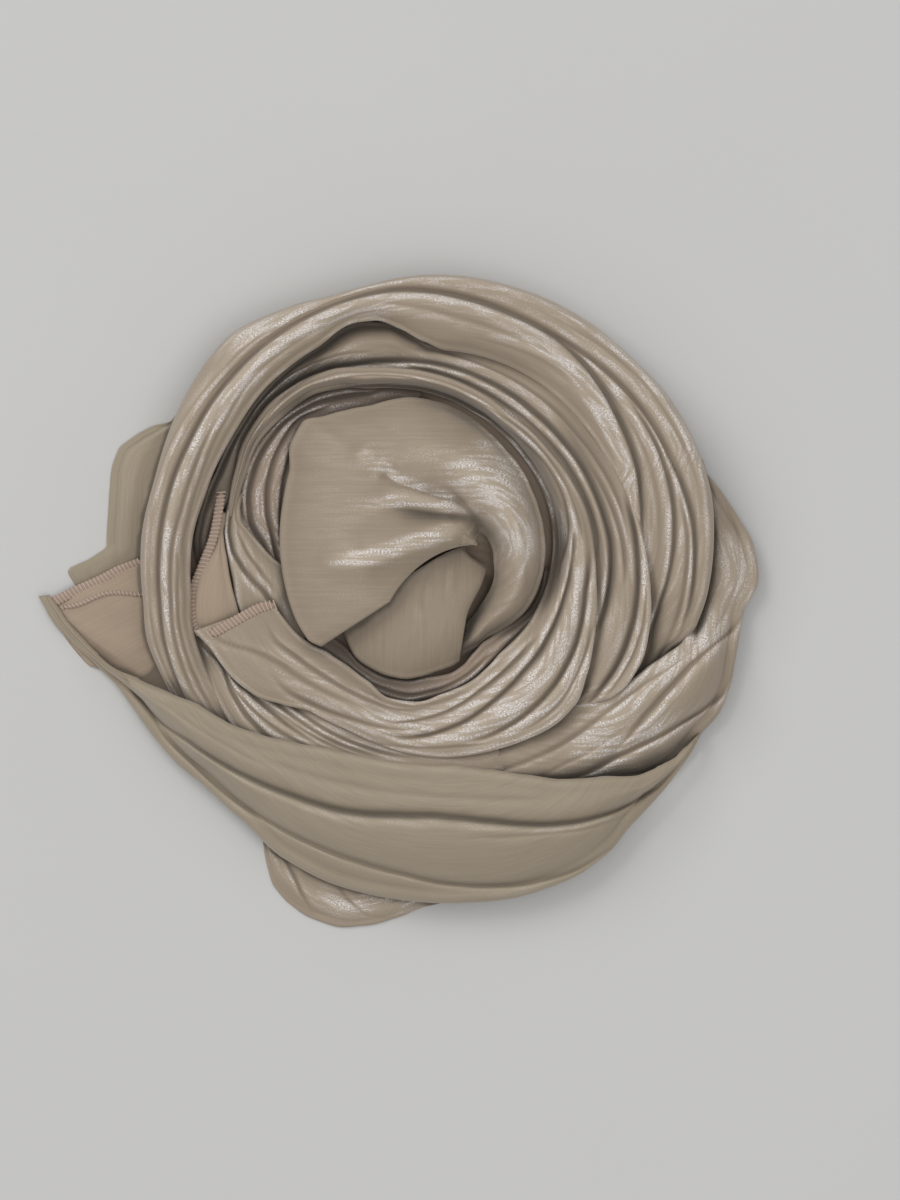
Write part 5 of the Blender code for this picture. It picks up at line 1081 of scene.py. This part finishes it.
class SCARF_OT_corners(bpy.types.Operator):
    """The corners and the flap that lie on the table outside the coil"""
    bl_idname = "scarf.corners"
    bl_label = "Corners"

    def execute(self, context):
        band("left_corner", LEFT_CORNER, centre=TIP, finish="shimmer organza, single layer",
             across=100, step=0.8, fan=True, threads=28, seed=12.0, wrinkle=(24.0, 8.0),
             wrinkle_depth=0.25)
        band("back_left_flap", BACK_LEFT_FLAP, BACK_LEFT_FLAP_Z, finish="shimmer organza, drawn smooth",
             across=50, step=1.2, folds=FLAP_FOLDS, seed=13.0, flat=True)
        band("bottom_corner", BOTTOM_CORNER, BOTTOM_CORNER_Z, across=50, step=1.0, folds=BOTTOM_FOLDS,
             seed=14.0, flat=True, glints=BOTTOM_GLINTS)
        return {"FINISHED"}


def surface(piece):
    """The surface of a piece, for rays to hit."""
    mesh = piece.data
    return BVHTree.FromPolygons([v.co for v in mesh.vertices], [p.vertices for p in mesh.polygons])


def bearing(x, y):
    """The direction of a point from the middle of the winding."""
    return math.atan2(y - CENTRE[1] * MM, x - CENTRE[0] * MM)


class SCARF_OT_hidden_layers(bpy.types.Operator):
    """The layers under the ones that show, folded round their edge"""
    bl_idname = "scarf.hidden_layers"
    bl_label = "Hidden layers"

    def execute(self, context):
        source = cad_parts["hidden_layers"].data
        mesh = source.copy()
        mesh.name = "hidden_heap"
        mesh.transform(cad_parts["hidden_layers"].matrix_world)
        soft = bmesh.new()
        soft.from_mesh(mesh)
        corner = surface(bpy.data.objects["left_corner_cloth"])
        bmesh.ops.remove_doubles(soft, verts=soft.verts, dist=1e-6)
        bmesh.ops.subdivide_edges(soft, edges=soft.edges[:], cuts=3, smooth=0.0, use_grid_fill=True)
        bmesh.ops.recalc_face_normals(soft, faces=soft.faces)
        for v in soft.verts:
            x, y, z = v.co
            if z > 0.0003:  # the underside stays on the table
                crumple = noise.noise(Vector((bearing(x, y) * 9.0, z / MM / 1.3, 5.0))) * 0.5
                side = min(1.0, max(0.0, (0.0085 - z) / 0.002))  # 1 on the side, 0 on the top
                v.co += v.normal * (crumple * side - 0.25) * MM
                v.co.z -= 1.6 * (1 - side) * MM
                hit = corner.ray_cast(Vector((v.co.x, v.co.y, 0.05)), DOWN)[0]
                if hit is not None:  # the left corner lies over the heap
                    v.co.z = min(v.co.z, hit.z - 0.8 * MM)
            v.co.z = max(v.co.z, 0.0)
        for f in soft.faces:
            f.smooth = True
        soft.to_mesh(mesh)
        soft.free()
        threads = mesh.uv_layers.get("threads") or mesh.uv_layers.new(name="threads")
        for loop, at in zip(mesh.loops, threads.data):
            x, y, z = mesh.vertices[loop.vertex_index].co
            at.uv = (bearing(x, y) * 0.1, z + math.hypot(x, y))
        mesh.materials.clear()
        mesh.materials.append(finishes()["shimmer organza, layers in shade"])
        heap = add("hidden_heap", mesh)
        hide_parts("hidden_layers")
        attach(heap, "root")
        return {"FINISHED"}


def stitch_tree(finish):
    """Geometry Nodes that lay overlock stitches across a line at an even pitch."""
    tree = bpy.data.node_groups.new("overlock stitches", "GeometryNodeTree")
    face = tree.interface
    face.new_socket("Geometry", in_out="INPUT", socket_type="NodeSocketGeometry")
    for label, value in (("Stitch pitch", 0.0015), ("Hem width", 0.0038), ("Thread radius", 0.00026)):
        socket = face.new_socket(label, in_out="INPUT", socket_type="NodeSocketFloat")
        socket.default_value = value
    face.new_socket("Geometry", in_out="OUTPUT", socket_type="NodeSocketGeometry")
    given = node(tree, "NodeGroupInput")
    line = node(tree, "GeometryNodeMeshToCurve", None, Mesh=given.outputs["Geometry"])
    spots = node(tree, "GeometryNodeCurveToPoints", {"mode": "LENGTH"}, Curve=line.outputs[0],
                 Length=given.outputs["Stitch pitch"])
    times = {"operation": "MULTIPLY"}
    half = node(tree, "ShaderNodeMath", times, i0=given.outputs["Hem width"], i1=0.5)
    back = node(tree, "ShaderNodeMath", times, i0=given.outputs["Hem width"], i1=-0.5)
    first = node(tree, "ShaderNodeCombineXYZ", None, X=back.outputs[0], Y=-0.0004, Z=-0.0001)
    top = node(tree, "ShaderNodeCombineXYZ", None, X=0.0, Y=0.0, Z=0.0010)
    last = node(tree, "ShaderNodeCombineXYZ", None, X=half.outputs[0], Y=0.0004, Z=-0.0001)
    loop = node(tree, "GeometryNodeCurveQuadraticBezier", None, Resolution=4, Start=first.outputs[0],
                Middle=top.outputs[0], End=last.outputs[0])
    ring = node(tree, "GeometryNodeCurvePrimitiveCircle", {"mode": "RADIUS"}, Resolution=5,
                Radius=given.outputs["Thread radius"])
    thread = node(tree, "GeometryNodeCurveToMesh", None, Curve=loop.outputs[0],
                  Profile_Curve=ring.outputs[0], Fill_Caps=True)
    lie = node(tree, "FunctionNodeAlignRotationToVector", {"axis": "Y", "pivot_axis": "Z"},
               Vector=spots.outputs["Tangent"])
    many = node(tree, "GeometryNodeInstanceOnPoints", None, Points=spots.outputs["Points"],
                Instance=thread.outputs[0], Rotation=lie.outputs[0])
    real = node(tree, "GeometryNodeRealizeInstances", None, Geometry=many.outputs[0])
    dress = node(tree, "GeometryNodeSetMaterial", None, Geometry=real.outputs[0], Material=finish)
    node(tree, "NodeGroupOutput", None, Geometry=dress.outputs[0])
    return tree


def lay_on(line, piece, lift):
    """Points of a plan line laid on top of a piece of cloth, in millimetres."""
    top = surface(piece)
    found, last = [], None
    for x, y in path_points(line, 0.5):
        hit = top.ray_cast(Vector((x * MM, y * MM, 0.1)), DOWN)[0]
        last = hit.z / MM if hit is not None else last
        found.append((x, y, last))
    known = [p[2] for p in found if p[2] is not None]
    if not known:
        raise RuntimeError(f"the hem line misses {piece.name}")
    tops = np.array([p[2] if p[2] is not None else known[0] for p in found])
    kernel = np.ones(5) / 5
    tops = np.convolve(np.pad(tops, 2, mode="edge"), kernel, mode="valid") + lift
    return np.column_stack(([p[:2] for p in found], tops))


def rolled_hem(name, pts, half):
    """The mesh of a flat rolled edge along points; half its width is given in millimetres."""
    thick, sides, taper = 0.3, 8, 6  # half its thickness, its facets, points at a tapered end
    n = len(pts)
    way = np.gradient(pts[:, :2], axis=0)
    way /= np.linalg.norm(way, axis=1)[:, None]
    side = np.column_stack((-way[:, 1], way[:, 0], 0 * way[:, 0]))
    ends = np.minimum(np.arange(n), np.arange(n)[::-1]) / taper
    wide = (half * np.clip(ends, 0.06, 1) ** 0.5)[:, None]
    ring = np.linspace(0, 2 * math.pi, sides + 1)[:-1]
    grid = (pts[:, None, :] + side[:, None, :] * (wide * np.cos(ring))[:, :, None]
            + np.array((0, 0, 1.0)) * (thick * np.sin(ring))[None, :, None])
    index = np.arange(n * sides).reshape(n, sides)
    turned = np.roll(index, -1, axis=1)
    quads = np.stack((index[:-1], turned[:-1], turned[1:], index[1:]), axis=-1)
    faces = quads.reshape(-1, 4).tolist() + [index[0, ::-1].tolist(), index[-1].tolist()]
    mesh = bpy.data.meshes.new(name)
    mesh.from_pydata((grid.reshape(-1, 3) * MM).tolist(), [], faces)
    solid = bmesh.new()
    solid.from_mesh(mesh)
    bmesh.ops.recalc_face_normals(solid, faces=solid.faces)
    for f in solid.faces:
        f.smooth = True
    solid.to_mesh(mesh)
    solid.free()
    mesh.materials.append(finishes()["overlock thread, laid"])
    return mesh


def sewn(name, pts, tree, settings):
    """The stitches along points, as a plain mesh."""
    path = bpy.data.meshes.new(name)
    path.from_pydata((pts * MM).tolist(), [(i, i + 1) for i in range(len(pts) - 1)], [])
    stitches = add(name, path)
    sew = stitches.modifiers.new("stitches", "NODES")
    sew.node_group = tree
    names = {s.name: s.identifier for s in tree.interface.items_tree if s.in_out == "INPUT"}
    for label, value in settings.items():
        sew[names[label]] = value
    depsgraph = bpy.context.evaluated_depsgraph_get()
    plain = bpy.data.meshes.new_from_object(stitches.evaluated_get(depsgraph), depsgraph=depsgraph)
    stitches.modifiers.remove(sew)
    stitches.data = plain
    return stitches


class SCARF_OT_hems(bpy.types.Operator):
    """The overlocked hems and their stitches"""
    bl_idname = "scarf.hems"
    bl_label = "Hems"

    def execute(self, context):
        sizes = context.scene.scarf_sizes
        tree = stitch_tree(finishes()["overlock thread"])
        lift = 0.25  # how far the middle of a hem lies above the cloth
        for name, line, under, width in (
            ("corner_hem", CORNER_HEM, "left_corner_cloth", 1.0),
            ("corner_seam", CORNER_SEAM, "left_corner_cloth", 0.4),
            ("fold_hem", FOLD_HEM, "hem_corner_cloth", 0.9),
            ("end_hem", END_HEM, "inner_coil_cloth", 1.0),
        ):
            pts = lay_on(line, bpy.data.objects[under], lift)
            hem = add(name, rolled_hem(name, pts, 500 * sizes.hem * width))
            stitches = sewn(name + "_stitches", pts, tree, {
                "Stitch pitch": sizes.stitch, "Hem width": sizes.hem * width, "Thread radius": sizes.thread})
            for piece in (hem, stitches):
                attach(piece, "root")
        return {"FINISHED"}


def height_map(spots):
    """The highest point in each cell, and the corner of the first cell, in millimetres."""
    margin = 20
    corner = np.min([c[:, :2].min(axis=0) for c in spots], axis=0) - margin
    size = (np.max([c[:, :2].max(axis=0) for c in spots], axis=0) + margin - corner) / CELL
    top = np.zeros(size.astype(int) + 2)
    for co in spots:
        cell = ((co[:, :2] - corner) / CELL).astype(int)
        np.maximum.at(top, (cell[:, 0], cell[:, 1]), co[:, 2])
    # an empty cell takes the middle value of the cells round it
    around = np.pad(top, 1)
    near = [around[i : i + top.shape[0], j : j + top.shape[1]] for i in range(3) for j in range(3)]
    return np.where(top == 0, np.median(near, axis=0), top), corner


def fill_gaps(top):
    """The height map with each gap filled that is narrower than twice the reach.  A step that
    is open at one side stays."""
    reach = int(HOLLOW_REACH / CELL)
    disc = [(i, j) for i in range(-reach, reach + 1) for j in range(-reach, reach + 1)
            if math.hypot(i, j) <= reach + 0.3]
    level = np.pad(top, reach, mode="edge")
    for pick in (np.max, np.min):
        level = pick([np.roll(level, step, axis=(0, 1)) for step in disc], axis=0)
    level = level[reach:-reach, reach:-reach]
    kernel = np.array((0.25, 0.5, 0.25))
    for _ in range(2):
        level = np.stack([np.convolve(line, kernel, mode="same") for line in level]).T
    return level


class SCARF_OT_hollows(bpy.types.Operator):
    """Marks how deep each point of the cloth lies between the folds round it, for the painted shade of the
    hollows
    """
    bl_idname = "scarf.hollows"
    bl_label = "Hollows"

    def execute(self, context):
        pieces = [ob for ob in context.scene.objects if ob.type == "MESH" and "crest" in ob.data.attributes]
        spots = []
        for piece in pieces:
            co = np.empty(3 * len(piece.data.vertices), dtype=np.float32)
            piece.data.vertices.foreach_get("co", co)
            spots.append(co.reshape(-1, 3) / MM)
        top, corner = height_map(spots)
        level = fill_gaps(top)
        for piece, co in zip(pieces, spots):
            at = (co[:, :2] - corner) / CELL - 0.5
            i, j = np.floor(at).astype(int).T
            u, v = (at - np.floor(at)).T
            here = ((1 - u) * (1 - v) * level[i, j] + u * (1 - v) * level[i + 1, j]
                    + (1 - u) * v * level[i, j + 1] + u * v * level[i + 1, j + 1])
            up = np.empty(3 * len(co), dtype=np.float32)
            piece.data.vertex_normals.foreach_get("vector", up)
            # an upright face isn't between folds
            lying = np.clip((abs(up.reshape(-1, 3)[:, 2]) - 0.12) / 0.3, 0, 1)
            # painted shade: how deep the point lies below the filled height map, which darkens its colour
            depth = np.clip((here - co[:, 2]) / HOLLOW_DEPTH, 0, 1) * lying
            hollow_shade = piece.data.attributes.new("hollow_shade", "FLOAT", "POINT")
            hollow_shade.data.foreach_set("value", depth.astype(np.float32))
        return {"FINISHED"}


class SCARF_PT_panel(bpy.types.Panel):
    bl_idname = "SCARF_PT_panel"
    bl_label = "Wound scarf"
    bl_space_type = "VIEW_3D"
    bl_region_type = "UI"
    bl_category = "Scarf"

    def draw(self, context):
        for group in (context.scene.scarf_colours, context.scene.scarf_sizes):
            for name in group.__annotations__:
                self.layout.prop(group, name)
        for step in STEPS:
            self.layout.operator(step.bl_idname)


STEPS = (
    SCARF_OT_stage,
    SCARF_OT_outer_coil,
    SCARF_OT_middle_coil,
    SCARF_OT_inner_coil,
    SCARF_OT_sweep,
    SCARF_OT_small_folds,
    SCARF_OT_centre,
    SCARF_OT_corners,
    SCARF_OT_hollows,
    SCARF_OT_hidden_layers,
    SCARF_OT_hems,
)
CLASSES = (ScarfColours, ScarfSizes, *STEPS, SCARF_PT_panel)


def register():
    for item in CLASSES:
        bpy.utils.register_class(item)
    bpy.types.Scene.scarf_colours = PointerProperty(type=ScarfColours)
    bpy.types.Scene.scarf_sizes = PointerProperty(type=ScarfSizes)


def unregister():
    del bpy.types.Scene.scarf_sizes
    del bpy.types.Scene.scarf_colours
    for item in reversed(CLASSES):
        bpy.utils.unregister_class(item)


def main():
    register()
    for step in STEPS:
        group, name = step.bl_idname.split(".")
        getattr(getattr(bpy.ops, group), name)()


if __name__ == "__main__":
    main()
